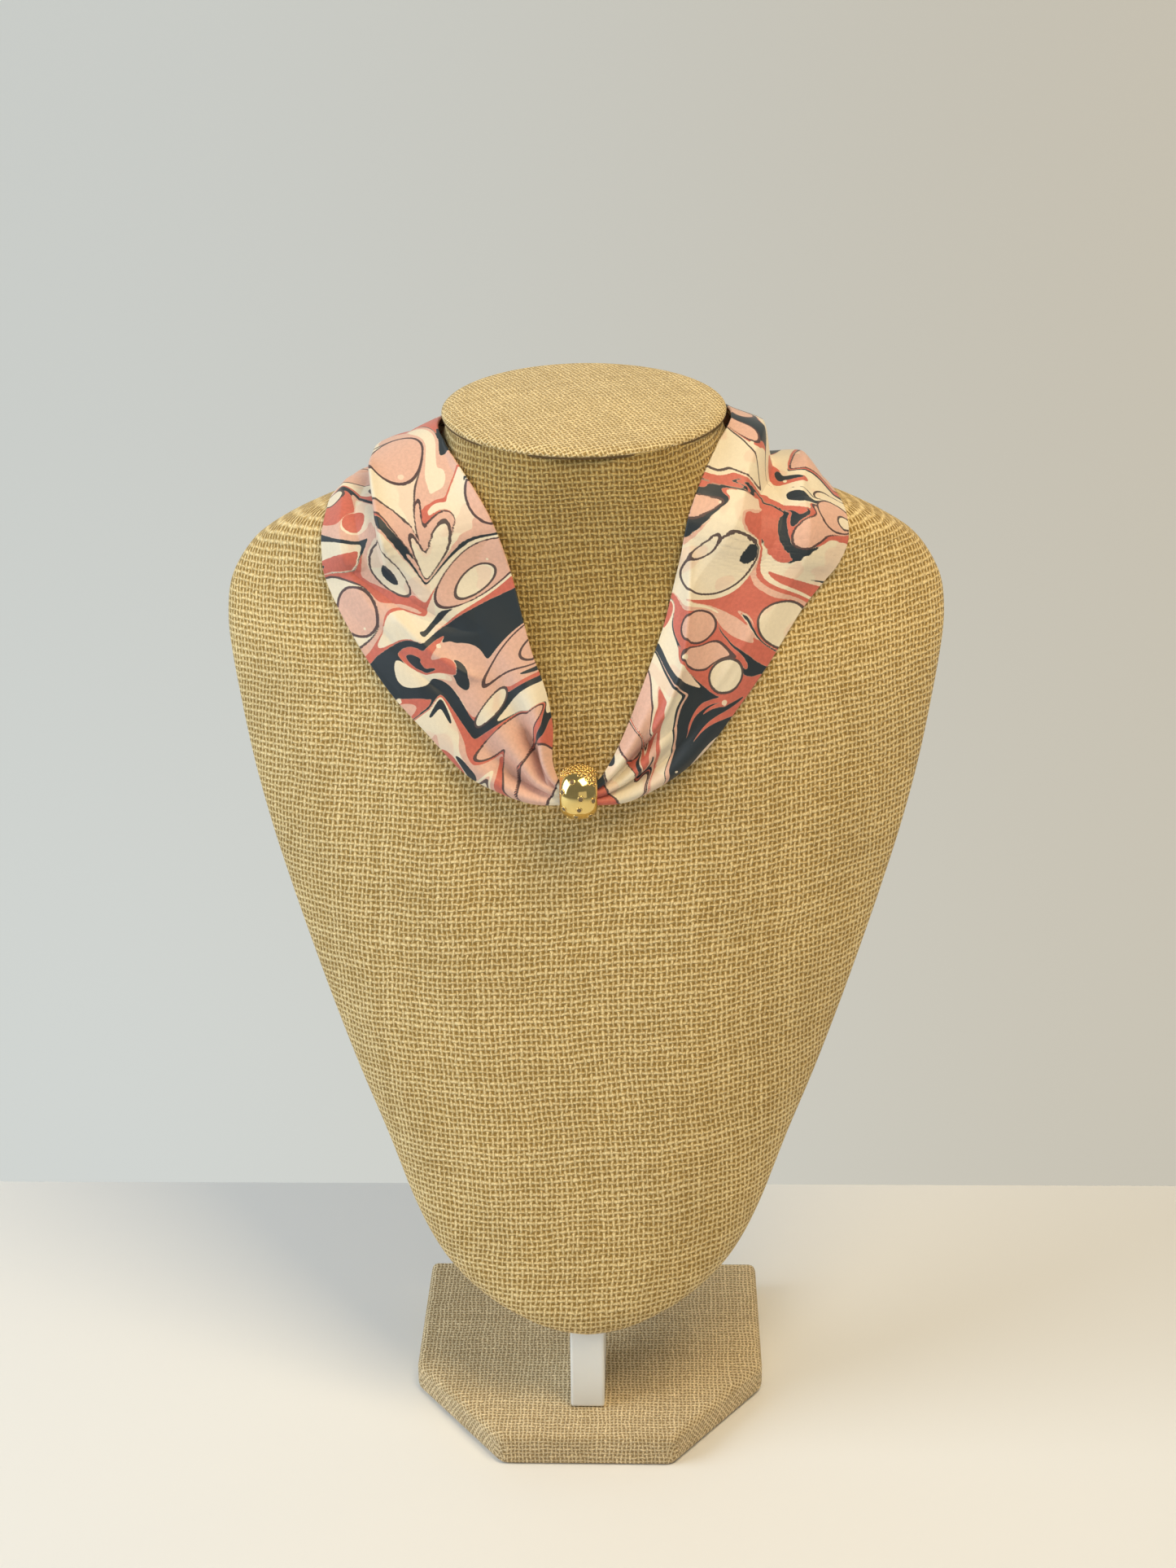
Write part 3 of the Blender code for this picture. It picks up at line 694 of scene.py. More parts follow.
def burlap_material(name, board_top=None, painted_neck_shade=False):
    """Plain weave of uneven straw-coloured threads, over and under each other, with painted highlight and
    shade on the threads, and dark gaps of painted shade.
    """
    warp_pitch, weft_pitch, light, deep, gap = BURLAPS[name]
    n = Nodes(name)
    flat = cloth_over_board(n, board_top) if board_top else n.uv("weave")
    x, y, _ = n.split(drifted(n, flat))
    across = n.math("DIVIDE", x, warp_pitch)
    up = n.math("DIVIDE", y, weft_pitch)
    warp, warp_look = threads(n, across, n.math("FLOOR", across), up, WARP_SEED, 1.0)
    weft, weft_look = threads(n, up, n.math("FLOOR", up), across, WEFT_SEED, -1.0)
    top = n.math("MAXIMUM", warp, weft)
    on_warp = n.math("GREATER_THAN", warp, weft)
    look = n.plus(n.times(warp_look, on_warp), n.times(weft_look, n.minus(1.0, on_warp)))
    colour = n.mix(n.ramp(look, *LOOK_RANGE), deep, light)
    # Painted shade in the gaps between the threads
    colour = n.mix(n.ramp(top, *GAP_RANGE), gap, colour)
    for scale, detail, roughness, *shades in BURLAP_CLOUDS:
        cloud = n.noise(flat, scale, detail, roughness)
        colour = n.shaded(colour, n.ramp(cloud, *CLOUD_RANGE, *shades))
    # Painted shade: the neck and the V between the scarf's limbs are darkened in the burlap's colour
    if painted_neck_shade:
        x, _, z = n.split(n.vector("SCALE", n.place(), scale=1.0 / MM))
        side = NECK_PAINTED_SHADE_WIDTH + NECK_PAINTED_SHADE_FADE
        inside = n.ramp(n.math("ABSOLUTE", x), NECK_PAINTED_SHADE_WIDTH, side, 1.0, 0.0)
        share = n.times(inside, n.ramp(z, *NECK_PAINTED_SHADE_HEIGHTS))
        colour = n.mix(share, colour, n.mix(1.0, colour, NECK_PAINTED_SHADE, "MULTIPLY"))
    n.set(Base_Color=colour, Roughness=0.85, Specular_IOR_Level=0.25)
    n.set(Sheen_Weight=0.15, Sheen_Roughness=0.6)
    n.bump(top, BURLAP_RELIEF, BURLAP_BUMP)
    return n.material


def silk_material():
    """Marbled silk: four paints with thin outlines, over a fine soft weave."""
    n = Nodes("marbled_silk")
    coral, blush, ink = (n.ramp(part, *PAINT_EDGE) for part in n.split(n.attribute("paint", "Color")))
    line = n.ramp(n.attribute("outline"), *LINE_EDGE)
    flat = n.uv("cloth")
    mottle = n.noise(flat, *MOTTLE_NOISE)
    fine = n.noise(flat, FINE_SCALE)
    behind = n.ramp(n.noise(flat, *BEHIND_NOISE), *BEHIND_SHARES)
    cream_tone, blush_tone, coral_tone = (
        n.mottled(mottle, low, high, PAINTS[paint], share) for paint, low, high, share in MOTTLES
    )
    colour = n.mix(blush, n.mix(behind, cream_tone, PAINTS["blush"]), blush_tone)
    colour = n.mix(coral, colour, coral_tone)
    colour = n.mix(ink, colour, PAINTS["ink"])
    colour = n.mix(n.times(line, LINE_COVER), colour, PAINTS["line"])
    colour = n.shaded(colour, n.ramp(fine, *FINE_SHADES))
    n.set(Base_Color=colour, Roughness=0.5, Specular_IOR_Level=0.35)
    n.set(Sheen_Weight=0.2, Sheen_Roughness=0.4)
    x, y, _ = n.split(flat)
    ribs = n.plus(n.math("SINE", n.times(x, RIB_TURNS[0])), n.math("SINE", n.times(y, RIB_TURNS[1])))
    n.bump(n.plus(n.times(ribs, RIB_HEIGHT), n.times(fine, FINE_HEIGHT)), SILK_RELIEF, SILK_BUMP)
    return n.material


def gold_material(name, roughness, tint, grain_scale):
    n = Nodes(name)
    wear = n.noise(n.place(), grain_scale, CLOUD_DETAIL)
    gloss = n.ramp(wear, *GOLD_GLOSS_RANGE, roughness, roughness + GOLD_WEAR)
    n.set(Base_Color=n.mottled(wear, *GOLD_TONES, tint, GOLD_DEEP_SHARE), Metallic=1.0, Roughness=gloss)
    n.bump(wear, GOLD_RELIEF, FINISH_BUMP)
    return n.material


def painted_material(name, tint, specular=0.5):
    n = Nodes(name)
    place = n.place()
    cloud = n.noise(place, COAT_SCALE, CLOUD_DETAIL)
    gloss = n.ramp(cloud, *CLOUD_RANGE, *COAT_ROUGHNESS)
    colour = n.mottled(cloud, *CLOUD_RANGE, tint, COAT_DEEP_SHARE)
    n.set(Base_Color=colour, Roughness=gloss, Specular_IOR_Level=specular)
    n.bump(n.noise(place, COAT_GRAIN), COAT_RELIEF, FINISH_BUMP)
    return n.material


def plain_material(name, tint, roughness):
    n = Nodes(name)
    cloud = n.noise(n.place(), PLAIN_SCALE)
    n.set(Base_Color=n.mottled(cloud, *PLAIN_RANGE, tint, PLAIN_DEEP_SHARE), Roughness=roughness)
    return n.material


def wall_material():
    """Grey wall with a soft glow of painted light, cool at the left and foot, warmer and dimmer at the
    right and top, standing in for the room's light falling on it.
    """
    n = Nodes("wall_grey")
    x, _, z = n.split(n.tree.nodes.new("ShaderNodeNewGeometry").outputs["Position"])
    glow = n.mix(n.ramp(x, *WALL_ACROSS), WALL_COOL, WALL_WARM)
    dimmer = n.ramp(z, *WALL_UP, 1.0, WALL_TOP_SHARE)
    # Painted light: the glow's tint and dimming stand in for how the room's light falls on the wall
    n.set(Emission_Color=n.shaded(glow, dimmer), Emission_Strength=WALL_PAINTED_LIGHT)
    n.set(Base_Color=WALL_GREY, Roughness=0.9)
    return n.material


# Camera and light

def build_camera():
    pitch, yaw, roll = CAMERA_PITCH, CAMERA_YAW, CAMERA_ROLL
    forward = Vector((math.sin(yaw) * math.cos(pitch), math.cos(yaw) * math.cos(pitch), -math.sin(pitch)))
    level_right = Vector((math.cos(yaw), -math.sin(yaw), 0.0))
    level_up = level_right.cross(forward)
    right = math.cos(roll) * level_right + math.sin(roll) * level_up
    up = math.cos(roll) * level_up - math.sin(roll) * level_right
    turn = Matrix((right, up, -forward)).transposed().to_4x4()
    camera = bpy.data.objects.new("camera", bpy.data.cameras.new("camera"))
    camera.data.sensor_fit = "VERTICAL"
    camera.data.sensor_height = SENSOR_HEIGHT
    camera.data.lens = CAMERA_FOCAL_PIXELS * SENSOR_HEIGHT / FRAME_HEIGHT_PIXELS
    camera.data.clip_start = CAMERA_CLIP_START
    camera.matrix_world = Matrix.Translation(CAMERA_PLACE) @ turn
    bpy.context.scene.collection.objects.link(camera)
    bpy.context.scene.camera = camera


def add_area_light(name, place, target, size, power, tint):
    light = bpy.data.lights.new(name, "AREA")
    light.shape = "RECTANGLE"
    light.size, light.size_y = size
    light.energy = power
    light.color = tint
    item = bpy.data.objects.new(name, light)
    item.location = place
    item.rotation_euler = (Vector(target) - Vector(place)).to_track_quat("-Z", "Y").to_euler()
    bpy.context.scene.collection.objects.link(item)


def build_lights():
    bpy.context.scene.view_settings.view_transform = "Standard"
    for row in LIGHTS:
        add_area_light(*row)
    world = bpy.data.worlds.new("world")
    bpy.context.scene.world = world
    world.use_nodes = True
    sky = world.node_tree.nodes["Background"]
    sky.inputs["Color"].default_value = SKY_TINT
    sky.inputs["Strength"].default_value = SKY_STRENGTH


def add_plane(name, place, size, tilt, material):
    turn = (math.radians(tilt), 0.0, 0.0)
    bpy.ops.mesh.primitive_plane_add(size=1.0, location=place, rotation=turn)
    plane = bpy.context.object
    plane.name = name
    plane.scale = (*size, 1.0)
    plane.data.materials.append(material)


def build_surround():
    """A pale table top, which ends just behind the bust, and a grey wall well behind it that glows with
    painted light.
    """
    table_middle = (0.0, TABLE_REAR_Y - 0.5 * TABLE_SIZE[1], TABLE_TOP_Z)
    white = plain_material("table_white", TABLE_WHITE, TABLE_ROUGHNESS)
    add_plane("table", table_middle, TABLE_SIZE, 0.0, white)
    add_plane("wall", (0.0, WALL_Y, 0.0), WALL_SIZE, 90.0, wall_material())


# Bust

def side_depth(x, half_width):
    beyond = x - FLAT_SHARE * half_width
    return SIDE_SLOPE * 0.5 * (math.hypot(beyond, SIDE_BLEND) + beyond)


def body_half_outline(height, half_width, front, back):
    """Points from the middle of the front, round one side, to the middle of the back."""
    neck_share = float(smooth_step(SHOULDER_Z, NECK_Z, height))
    chest_share = 1.0 - neck_share
    edge_width = half_width * (EDGE_SHARE + (NECK_EDGE_SHARE - EDGE_SHARE) * neck_share)
    face_width = half_width - edge_width

    def front_y(x):
        return front + (side_depth(x, half_width) - side_depth(0.0, half_width)) * chest_share

    middle = 0.5 * (front + back)
    turned = front_y(half_width) + EDGE_DEPTH_SHARE * half_width
    edge_y = chest_share * min(turned, middle) + neck_share * middle
    face = [face_width * step / FACE_STEPS for step in range(FACE_STEPS)]
    outline = [(x, front_y(x)) for x in face]
    for angle in quarter_turn(EDGE_STEPS)[:-1]:
        x = face_width + edge_width * math.sin(angle)
        outline.append((x, front_y(x) + (edge_y - front_y(x)) * (1.0 - math.cos(angle))))
    for angle in quarter_turn(EDGE_STEPS):
        x = face_width + edge_width * math.cos(angle)
        outline.append((x, edge_y + (back - edge_y) * math.sin(angle)))
    turned_in = face_width - min(BACK_TURN_IN, BACK_TURN_MOST_SHARE * face_width)
    outline.append((turned_in, back))
    for step in range(BACK_FACE_STEPS + 1):
        x = (turned_in - BACK_TURN_EDGE) * (1.0 - step / BACK_FACE_STEPS)
        outline.append((x, back - BACK_TURN_THICKNESS))
    return outline


def neck_tip(y, height):
    """How far the neck's rings tip with the cap."""
    return smooth_step(*NECK_TIP_HEIGHTS, height) * math.tan(CAP_TILT) * (y - CAP_CENTRE_Y)


def weave_place(round_it, up_it, z):
    """Where a point of the front cover lies on the cloth."""
    spread = 1.0 + CHEST_SPREAD * smooth_step(*CHEST_SPREAD_HEIGHTS, z)
    lean = NECK_LEAN * np.maximum(z - NECK_LEAN_FROM_Z, 0.0)
    sway = WARP_SWAY * np.sin((z - WARP_SWAY_LEVEL) / WARP_SWAY_LENGTH)
    rise = WEFT_RISE * (1.0 - WEFT_EASE * smooth_step(*WEFT_EASE_HEIGHTS, z))
    return np.stack([round_it * spread + lean + sway, up_it - rise * round_it], axis=-1)


def bust_rings():
    """Rings of points up the bust, with each point's way round it and up it."""
    last = len(BODY_ROWS) - 1
    rows = through_rows(BODY_ROWS, np.linspace(0.0, last, last * ROW_STEPS + 1))
    points, round_it, up_it = [], [], []
    run = 0.0
    below = None
    for height, half_width, front in rows:
        z = min(height, BUST_TOP_Z)
        back = BACK_FOOT_Y + (z - BACK_FOOT_Z) * BACK_SLOPE
        half = np.array(body_half_outline(z, half_width, front, back))
        lengths = run_along(half)
        run += math.dist(below, (z, front)) if below else 0.0
        below = (z, front)
        ring = np.concatenate([half, half[-2:0:-1] * (-1.0, 1.0)])
        points.append(np.column_stack([ring, z + neck_tip(ring[:, 1], z)]))
        round_it.append(np.concatenate([lengths, -lengths[-2:0:-1]]))
        up_it.append(np.full(len(ring), run))
    return np.array(points), np.array(round_it), np.array(up_it)


def build_bust(material):
    points, round_it, up_it = bust_rings()
    count, around = points.shape[:2]
    column = np.arange(around)
    on_back = np.abs(column - around // 2) <= BACK_FACE_STEPS + 1
    front_cloth = weave_place(round_it, up_it, points[..., 2]).reshape(-1, 2)
    points = points.reshape(-1, 3)
    up_back = points[:, 2] * math.hypot(1.0, BACK_SLOPE)
    back_cloth = np.column_stack([points[:, 0] + BACK_CLOTH_PLACE, up_back])
    end_cloth = points[:, :2] + (END_CLOTH_PLACE, 0.0)
    faces = ring_faces(count, around)
    places = []
    for face in faces:
        behind = on_back[face[0] % around] and on_back[face[1] % around]
        cloth = back_cloth if behind else front_cloth
        places.extend(cloth[corner] for corner in face)
    for end in (range(around - 1, -1, -1), range((count - 1) * around, count * around)):
        faces.append(tuple(end))
        places.extend(end_cloth[corner] for corner in end)
    bust = add_piece("bust_cover", points, faces, material, sharp=BUST_SHARP_ANGLE)
    set_cloth_map(bust, "weave", places)
    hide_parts("bust_body")
    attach(bust, "root")
    return bust


def on_cap(radius, angle, height):
    """A place on the tilted cap, in millimetres."""
    spoke = Vector((radius * math.cos(angle), radius * math.sin(angle), height))
    return Matrix.Rotation(CAP_TILT, 3, "X") @ spoke + Vector((0.0, CAP_CENTRE_Y, CAP_TOP_Z - CAP_CROWN))


def cap_section():
    """Radius and height from near the crown's middle, over the rolled rim, to the flat underside."""
    flat_radius = CAP_RADIUS - CAP_ROLL
    section = [(flat_radius * share, CAP_CROWN * (1.0 - share ** 2)) for share in CAP_CROWN_RINGS]
    for angle in quarter_turn(CAP_ROLL_STEPS):
        section.append((flat_radius + CAP_ROLL * math.sin(angle), -CAP_DROP * (1.0 - math.cos(angle))))
    low = CAP_THICKNESS - CAP_DROP
    for angle in quarter_turn(CAP_UNDER_STEPS)[1:]:
        radius = CAP_RADIUS - CAP_UNDER_SHARE * low * (1.0 - math.cos(angle))
        section.append((radius, -CAP_DROP - low * math.sin(angle)))
    section.append((CAP_RADIUS - CAP_UNDER_WIDTH, -CAP_THICKNESS))
    return section


def build_cap(material):
    """A padded burlap disc: soft crowned top, rolled rim, flat underside."""
    section = cap_section()
    lengths = run_along([(0.0, CAP_CROWN), *section])[1:]
    points, flat = [], []
    for (radius, height), run in zip(section, lengths):
        for angle in circle(CAP_SIDES):
            turned = angle + CAP_CLOTH_TURN
            points.append(on_cap(radius, angle, height))
            flat.append((run * math.cos(turned), run * math.sin(turned)))
    faces = ring_faces(len(section), CAP_SIDES, flip=True)
    faces.append(tuple(range(CAP_SIDES)))
    faces.append(tuple(reversed(range(len(points) - CAP_SIDES, len(points)))))
    cap = add_piece("cap_cover", points, faces, material)
    set_cloth_map(cap, "weave", [flat[corner] for face in faces for corner in face])
    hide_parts("neck_cap")
    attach(cap, "root")
    return cap


def build_seam():
    """The dark seam under the cap's rim: a thin round cord."""
    height = -CAP_THICKNESS - SEAM_DROP
    path = np.array([on_cap(SEAM_RADIUS, angle, height) for angle in circle(CAP_SIDES)])
    along = unit(np.roll(path, -1, axis=0) - np.roll(path, 1, axis=0))
    first = unit(np.cross(along, np.array(SEAM_ROUGH_UP)))
    second = np.cross(along, first)
    turn = np.array(circle(SEAM_CORD_SIDES))[None, :, None]
    rings = first[:, None] * np.cos(turn) + second[:, None] * np.sin(turn)
    points = path[:, None] + SEAM_CORD_RADIUS * rings
    faces = ring_faces(CAP_SIDES, SEAM_CORD_SIDES, closed=True)
    brown = plain_material("seam_brown", SEAM_BROWN, SEAM_ROUGHNESS)
    seam = add_piece("cap_seam", points.reshape(-1, 3), faces, brown)
    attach(seam, "root")


def dress_solid(node, material):
    """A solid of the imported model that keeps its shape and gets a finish."""
    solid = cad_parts[node]
    solid.data.materials.clear()
    solid.data.materials.append(material)


# Scarf ring: a polished bead trimmed with an openwork band and small stones

def bead_radius(along):
    share = math.sqrt(max(1.0 - (2.0 * along / RING_LENGTH) ** 2, 0.0))
    return RING_END_RADIUS + (RING_RADIUS - RING_END_RADIUS) * share


def on_ring(along, angle, radius):
    """A place round the ring's bore, in millimetres. The angle goes up from straight ahead."""
    return Vector(RING_CENTRE) + Vector((along, -radius * math.cos(angle), radius * math.sin(angle)))


def ring_surface(along, angle):
    """A place on the bead's dome, at an angle in degrees, and its outward direction."""
    turned = math.radians(angle)
    step = 0.05
    inner = min(abs(along), 0.5 * RING_LENGTH - 2.0 * step)
    slope = (bead_radius(inner - step) - bead_radius(inner + step)) / (2.0 * step)
    normal = Vector((math.copysign(slope, along), -math.cos(turned), math.sin(turned))).normalized()
    return on_ring(along, turned, bead_radius(along)), normal


def build_bead(material):
    """The ring itself: a round-shouldered gold bead with a plain bore."""
    half = 0.5 * RING_LENGTH
    dome = [half * math.cos(math.pi * step / RING_PROFILE_STEPS) for step in range(RING_PROFILE_STEPS + 1)]
    section = [(along, bead_radius(along)) for along in dome] + [(-half, RING_BORE), (half, RING_BORE)]
    points = [on_ring(along, angle, radius) for angle in circle(RING_SIDES) for along, radius in section]
    faces = ring_faces(RING_SIDES, len(section), closed=True)
    bead = add_piece("ring_bead", points, faces, material, sharp=RING_SHARP_ANGLE)
    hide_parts("scarf_ring")
    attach(bead, "root")


def small_rings(name, places, radius, wire, material):
    """Many small wire rings lying on the bead, as one mesh."""
    points, faces = [], []
    for place, normal in places:
        turn = normal.to_track_quat("Z", "Y").to_matrix()
        faces += ring_faces(WIRE_STEPS, WIRE_SIDES, closed=True, flip=True, first=len(points))
        for a in circle(WIRE_STEPS):
            for b in circle(WIRE_SIDES):
                reach = radius + wire * math.cos(b)
                local = Vector((reach * math.cos(a), reach * math.sin(a), wire * math.sin(b)))
                points.append(place + turn @ local)
    item = add_piece(name, points, faces, material)
    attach(item, "root")


def small_stones(name, places, radius, material):
    """Low eight-sided stones, one in each stud."""
    points, faces = [], []
    for place, normal in places:
        turn = normal.to_track_quat("Z", "Y").to_matrix()
        first = len(points)
        for level, share in STONE_LEVELS:
            for a in circle(STONE_SIDES):
                local = Vector((radius * share * math.cos(a), radius * share * math.sin(a), level))
                points.append(place + turn @ local)
        faces += ring_faces(len(STONE_LEVELS), STONE_SIDES, first=first)
        faces.append(tuple(range(len(points) - STONE_SIDES, len(points))))
        faces.append(tuple(reversed(range(first, first + STONE_SIDES))))
    item = add_piece(name, points, faces, material, smooth=False)
    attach(item, "root")


def openwork_places():
    """Places of the openwork's small rings, in rows round the bead that leave its lower front bare."""
    half = 0.5 * RING_LENGTH - LATTICE_END_ROOM
    step = math.degrees(LATTICE_PITCH * LATTICE_ROW_SHARE / RING_RADIUS)
    places = []
    for row in range(int((LATTICE_TO - LATTICE_FROM + LATTICE_DIP) / step)):
        angle = LATTICE_TO - row * step
        for column in range(int(2.0 * half / LATTICE_PITCH) + 1):
            along = -half + (column + 0.5 * (row % 2)) * LATTICE_PITCH
            edge = LATTICE_FROM - LATTICE_DIP * smooth_step(-1.0, half, along)
            if along <= half and angle >= edge:
                places.append(ring_surface(along, angle))
    return places


def dress_ring():
    build_bead(gold_material("polished_gold", RING_ROUGHNESS, RING_GOLD, RING_GRAIN))
    openwork = gold_material("openwork_gold", LATTICE_ROUGHNESS, LATTICE_GOLD, LATTICE_GRAIN)
    small_rings("ring_openwork", openwork_places(), LATTICE_RADIUS, LATTICE_WIRE, openwork)
    studs = [ring_surface(along, angle) for along, angle in STUDS]
    small_rings("ring_stud_rims", studs, STUD_RADIUS, STUD_WIRE, openwork)
    stone = painted_material("stud_stone", STONE_BROWN, specular=STONE_SPECULAR)
    small_stones("ring_stones", studs, STUD_RADIUS - STONE_INSET, stone)


# Scarf

def fold_heights(sections, across):
    """Heights of the folds above the straight line between the band's edges."""
    crest_at, crest_up, valley_at, valley_up, roll_at, roll_up, gather = (
        sections[:, column][:, None] for column in range(6, 13)
    )
    zero = np.zeros_like(crest_at)
    marks = (
        (zero, zero), (crest_at, crest_up), (valley_at, valley_up), (roll_at, roll_up), (zero + 1.0, zero)
    )
    height = np.zeros((len(sections), len(across)))
    for (low, low_up), (high, high_up) in zip(marks, marks[1:]):
        inside = (across >= low) & (across <= high)
        straight = np.clip((across - low) / (high - low), 0.0, 1.0)
        eased = smooth_step(low, high, across)
        value = low_up + (high_up - low_up) * (FOLD_CRISPNESS * straight + (1.0 - FOLD_CRISPNESS) * eased)
        height = np.where(inside, value, height)
    turns = GATHER_WAVES * (across - GATHER_FIRST_CREST)
    return height + gather * np.cos(2.0 * math.pi * turns)


def crease_heights(stations, across):
    """What the main creases add to the folds."""
    total = np.zeros((len(stations), len(across)))
    for height, half_width, bluntness, line in CREASES:
        line = np.array(sorted(line))
        start, end = line[0, 0], line[-1, 0]
        fade_in = smooth_step(start, start + CREASE_FADE, stations)
        fade_out = 1.0 - smooth_step(end - CREASE_FADE, end, stations)
        centre = np.interp(stations, line[:, 0], line[:, 1])
        off = np.sqrt((across - centre[:, None]) ** 2 + bluntness ** 2) - bluntness
        total += height * (fade_in * fade_out)[:, None] * np.exp(-(off / half_width))
    return total


def surface_tree(item):
    places = [vertex.co.copy() for vertex in item.data.vertices]
    return BVHTree.FromPolygons(places, [tuple(face.vertices) for face in item.data.polygons])


def clear_of(point, trees, distance):
    """The point itself, or moved out until it is the given distance off every surface."""
    for tree in trees:
        place, normal, _, gap = tree.find_nearest(point)
        if (point - place).dot(normal) < 0.0:
            point = place + normal * distance
        elif gap < distance:
            direction = point - place if gap > TOUCHING * MM else normal
            point = place + direction.normalized() * distance
    return point


def grid_normals(grid):
    """Outward direction at each point of a grid of rows along the band and columns across it."""
    along = np.gradient(grid, axis=0)
    across = np.gradient(grid, axis=1)
    return unit(np.cross(along, across))


def loop_stations():
    """Row places along the loop, evenly spaced by length, and the rows where the stretches end."""
    last = len(LOOP_SECTIONS) - 1
    fine = np.linspace(0.0, last, LOOP_STEPS)
    sections = through_rows(LOOP_SECTIONS, fine)
    run = run_along(0.5 * (sections[:, 0:3] + sections[:, 3:6]))
    ends = np.interp((0.0, LIMB_STATIONS, last - LIMB_STATIONS, last), fine, run)
    lengths = [ends[:1]]
    for low, high, rows in zip(ends, ends[1:], (LIMB_ROWS, NAPE_ROWS, LIMB_ROWS)):
        lengths.append(np.linspace(low, high, rows + 1)[1:])
    lengths = np.concatenate(lengths)
    cuts = (0, LIMB_ROWS, LIMB_ROWS + NAPE_ROWS, 2 * LIMB_ROWS + NAPE_ROWS)
    return np.interp(lengths, run, fine), lengths, cuts


def band_grid(trees):
    """Points on the middle of the band's thickness, in millimetres, and each row's place along it."""
    stations, lengths, cuts = loop_stations()
    across = np.linspace(0.0, 1.0, BAND_COLUMNS + 1)
    last = len(LOOP_SECTIONS) - 1.0
    near = (np.maximum(stations - STATION_NUDGE, 0.0), stations, np.minimum(stations + STATION_NUDGE, last))
    before, sections, after = (through_rows(LOOP_SECTIONS, places) for places in near)
    middles = [0.5 * (s[:, 0:3] + s[:, 3:6]) for s in (before, sections, after)]
    chord = sections[:, 3:6] - sections[:, 0:3]
    out = unit(np.cross(middles[2] - middles[0], chord))
    away = np.einsum("ij,ij->i", out, middles[1] - np.array(NECK_MIDDLE))
    out *= np.where(away > 0.0, 1.0, -1.0)[:, None]
    straight = sections[:, None, 0:3] + chord[:, None, :] * across[None, :, None]
    heights = fold_heights(sections, across) + crease_heights(stations, across)
    least = (0.5 * CLOTH + CLOTH_OFF_BUST) * MM
    grid = np.empty_like(straight)
    for row in range(len(stations)):
        push = Vector(out[row])
        for column in range(BAND_COLUMNS + 1):
            base = clear_of(Vector(straight[row, column] * MM), trees, least)
            grid[row, column] = clear_of(base + push * (heights[row, column] * MM), trees, least)
    return grid / MM, lengths, cuts


def even_spots(dice, count, margin, length):
    """Spots over the flat band, each the furthest from the others of a few tries."""
    spots = []
    for _ in range(count):
        tries = [
            (dice.uniform(-margin, length + margin), dice.uniform(-margin, BAND_FLAT_WIDTH + margin))
            for _ in range(SPOT_TRIES)
        ]
        spots.append(max(tries, key=lambda spot: min((math.dist(spot, o) for o in spots), default=0.0)))
    return spots


def lay_paint(length):
    """The marbler's steps in order: rounds of drops and strokes, and a few pale specks at the end."""
    dice = random.Random(MARBLING_SEED)
    steps = []
    for drops, (count, *limits) in zip(DROP_ROUNDS, STROKE_ROUNDS):
        for paint, drop_count, least, most, line in drops:
            for x, y in even_spots(dice, drop_count, DROP_MARGIN, length):
                steps.append(("drop", x, y, dice.uniform(least, most), paint, line))
        for x, y in even_spots(dice, count, 0.0, length):
            heading = dice.uniform(0.0, 2.0 * math.pi)
            pull, width, reach = (dice.uniform(*limits[i:i + 2]) for i in (0, 2, 4))
            steps.append(("stroke", x, y, heading, pull, width, reach))
    for x, y in even_spots(dice, SPECK_COUNT, 0.0, length):
        steps.append(("drop", x, y, dice.uniform(*SPECK_RADII), CREAM, 0.0))
    return steps


def paint_field(along, across, steps):
    """Which paint lies at each point, and whether an outline runs there, by undoing each step in turn."""
    place_x = np.repeat(along[:, None], across.shape[1], axis=1).astype(np.float32)
    place_y = across.astype(np.float32)
    paint = np.full(across.shape, INK, np.int8)
    line = np.zeros(across.shape, bool)
    free = np.ones(across.shape, bool)
    for kind, x, y, *rest in reversed(steps):
        low, high = np.searchsorted(along, (x - FADE_TO, x + FADE_TO))
        if low >= high:
            continue
        rows = slice(low, high)
        fade = (1.0 - smooth_step(FADE_FROM, FADE_TO, np.abs(along[rows] - x)))[:, None]
        dx = place_x[rows] - x
        dy = place_y[rows] - y
        if kind == "drop":
            radius, colour, width = rest
            squared = dx * dx + dy * dy
            inside = free[rows] & (squared < radius * radius)
            paint[rows][inside] = colour
            line[rows][inside] = radius - np.sqrt(squared[inside]) < width
            free[rows][inside] = False
            pull = (1.0 - np.sqrt(1.0 - radius * radius / np.maximum(squared, radius * radius))) * fade
            place_x[rows] -= dx * pull
            place_y[rows] -= dy * pull
        else:
            heading, pull, width, reach = rest
            c, s = math.cos(heading), math.sin(heading)
            side = np.sqrt((dy * c - dx * s) ** 2 + STROKE_BLUNTNESS ** 2) - STROKE_BLUNTNESS
            on = dx * c + dy * s
            shift = pull * np.exp(-side / width - (on / reach) ** 2) * fade
            place_x[rows] -= shift * c
            place_y[rows] -= shift * s
    return paint, line


def evened(values, reach):
    """Values averaged softly over the rows near each row."""
    offsets = np.arange(-3 * reach, 3 * reach + 1)
    weights = np.exp(-0.5 * (offsets / reach) ** 2)
    rows = np.clip(np.arange(len(values))[:, None] + offsets, 0, len(values) - 1)
    return np.einsum("ijk,j->ik", values[rows], weights / weights.sum())


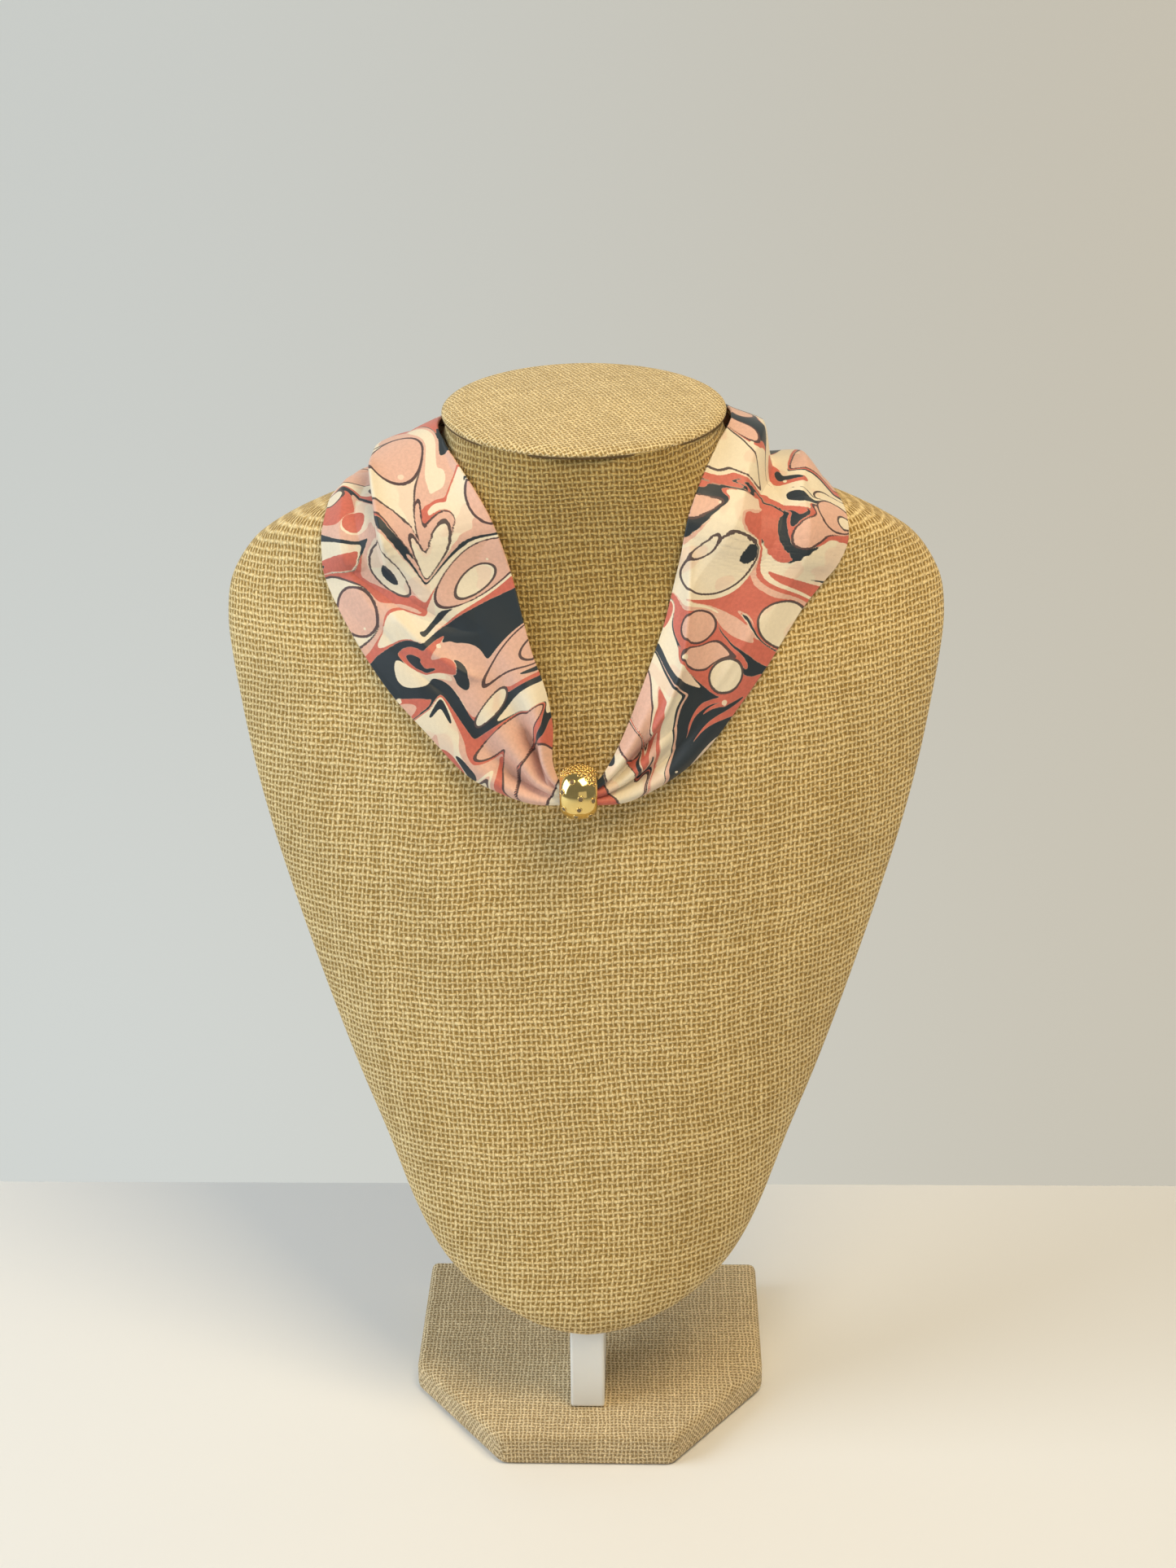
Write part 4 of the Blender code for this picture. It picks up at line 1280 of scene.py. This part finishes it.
def marbling_on(grid, lengths):
    """Paint shares and outline strength at each point of the band's face, and its place across it."""
    steps = lay_paint(lengths[-1])
    run = np.linalg.norm(np.diff(grid, axis=1), axis=2)
    places = np.concatenate([np.zeros((len(grid), 1)), np.cumsum(run, axis=1)], axis=1)
    places += 0.5 * (BAND_FLAT_WIDTH - places[:, -1:])
    places = evened(places, EVEN_ROWS)
    step_along = np.gradient(lengths)
    step_across = np.gradient(places, axis=1)
    shares = np.zeros((*places.shape, 3))
    outline = np.zeros(places.shape)
    spots = [(a, b, (1.0 - abs(a)) * (1.0 - abs(b))) for a in READ_OFFSETS for b in READ_OFFSETS]
    total = sum(weight for _, _, weight in spots)
    for along_off, across_off, weight in spots:
        along = lengths + along_off * step_along
        paint, line = paint_field(along, places + across_off * step_across, steps)
        for channel, colour in enumerate((CORAL, BLUSH, INK)):
            shares[..., channel] += (paint == colour) * (weight / total)
        outline += line * (weight / total)
    return shares, outline, places


def shell_ring(columns):
    """Column index and side of each point round the band's section: face, far edge, back, near edge."""
    last = columns - 1
    face = [(column, 0.0) for column in range(columns)]
    far = [(last, step / (EDGE_ARC_STEPS + 1)) for step in range(1, EDGE_ARC_STEPS + 1)]
    back = [(column, 1.0) for column in range(last, -1, -INNER_SKIP)]
    near = [(0, 1.0 - step / (EDGE_ARC_STEPS + 1)) for step in range(1, EDGE_ARC_STEPS + 1)]
    return face + far + back + near


def end_caps(ring, columns, rows):
    """Faces that close the band's section at its first and its last row, one for each back segment."""
    around = len(ring)
    backs = [i for i, (_, side) in enumerate(ring) if side == 1.0]
    chains = [[*range(ring[b][0], ring[a][0] + 1), a, b] for a, b in zip(backs, backs[1:])]
    last = columns - 1
    far = list(range(last, backs[0] + 1))
    near = [0, *range(around - 1, backs[-1] - 1, -1)]
    chains += [far, near[::-1]]
    first = [tuple(reversed(chain)) for chain in chains]
    final = [tuple((rows - 1) * around + i for i in chain) for chain in chains]
    return first + final


def build_stretch(name, node, material, grid, normals, shares, outline, places, lengths):
    """One stretch of the band as a thin closed shell, with rounded edges and closed ends."""
    last = grid.shape[1] - 1
    ring = shell_ring(last + 1)
    columns = np.array([column for column, _ in ring])
    turn = np.array([side for _, side in ring])[None, :, None] * math.pi
    edgeward = np.zeros_like(grid[:, columns])
    edgeward[:, columns == 0] = unit(grid[:, 0] - grid[:, 1])[:, None]
    edgeward[:, columns == last] = unit(grid[:, -1] - grid[:, -2])[:, None]
    facing = normals[:, columns] * np.cos(turn) + edgeward * np.sin(turn)
    points = grid[:, columns] + facing * (0.5 * CLOTH)
    count, around = points.shape[:2]
    faces = ring_faces(count, around, flip=True) + end_caps(ring, last + 1, count)
    item = add_piece(name, points.reshape(-1, 3), faces, material)
    mesh = item.data
    colours = np.ones((count, around, 4), np.float32)
    colours[..., :3] = shares[:, columns]
    layer = mesh.attributes.new("paint", "FLOAT_COLOR", "POINT")
    layer.data.foreach_set("color", colours.ravel())
    layer = mesh.attributes.new("outline", "FLOAT", "POINT")
    layer.data.foreach_set("value", outline[:, columns].astype(np.float32).ravel())
    along = np.repeat(lengths[:, None], around, axis=1)
    flat = np.stack([along, places[:, columns]], axis=-1).reshape(-1, 2)
    set_cloth_map(item, "cloth", flat[[corner for face in faces for corner in face]])
    mesh.normals_split_custom_set_from_vertices(unit(facing).reshape(-1, 3).tolist())
    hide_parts(node)
    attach(item, "root")


def build_scarf(trees):
    grid, lengths, cuts = band_grid(trees)
    normals = grid_normals(grid)
    away = grid.mean(axis=1) - np.array(NECK_MIDDLE)
    if np.einsum("ij,ij->i", normals.mean(axis=1), away).mean() < 0.0:
        normals = -normals
    band = (grid, normals, *marbling_on(grid, lengths), lengths)
    silk = silk_material()
    for (name, node), first, last in zip(STRETCHES, cuts, cuts[1:]):
        build_stretch(name, node, silk, *(part[first:last + 1] for part in band))


def build_all():
    build_camera()
    build_lights()
    build_surround()
    # The bust's burlap carries painted shade on its neck and inner V
    bust = build_bust(burlap_material("burlap", painted_neck_shade=True))
    cap = build_cap(burlap_material("burlap_cap"))
    build_seam()
    dress_solid("base", burlap_material("burlap_base", board_top=BASE_HEIGHT))
    dress_solid("post", painted_material("post_paint", POST_WHITE))
    dress_ring()
    build_scarf([surface_tree(bust), surface_tree(cap)])


build_all()
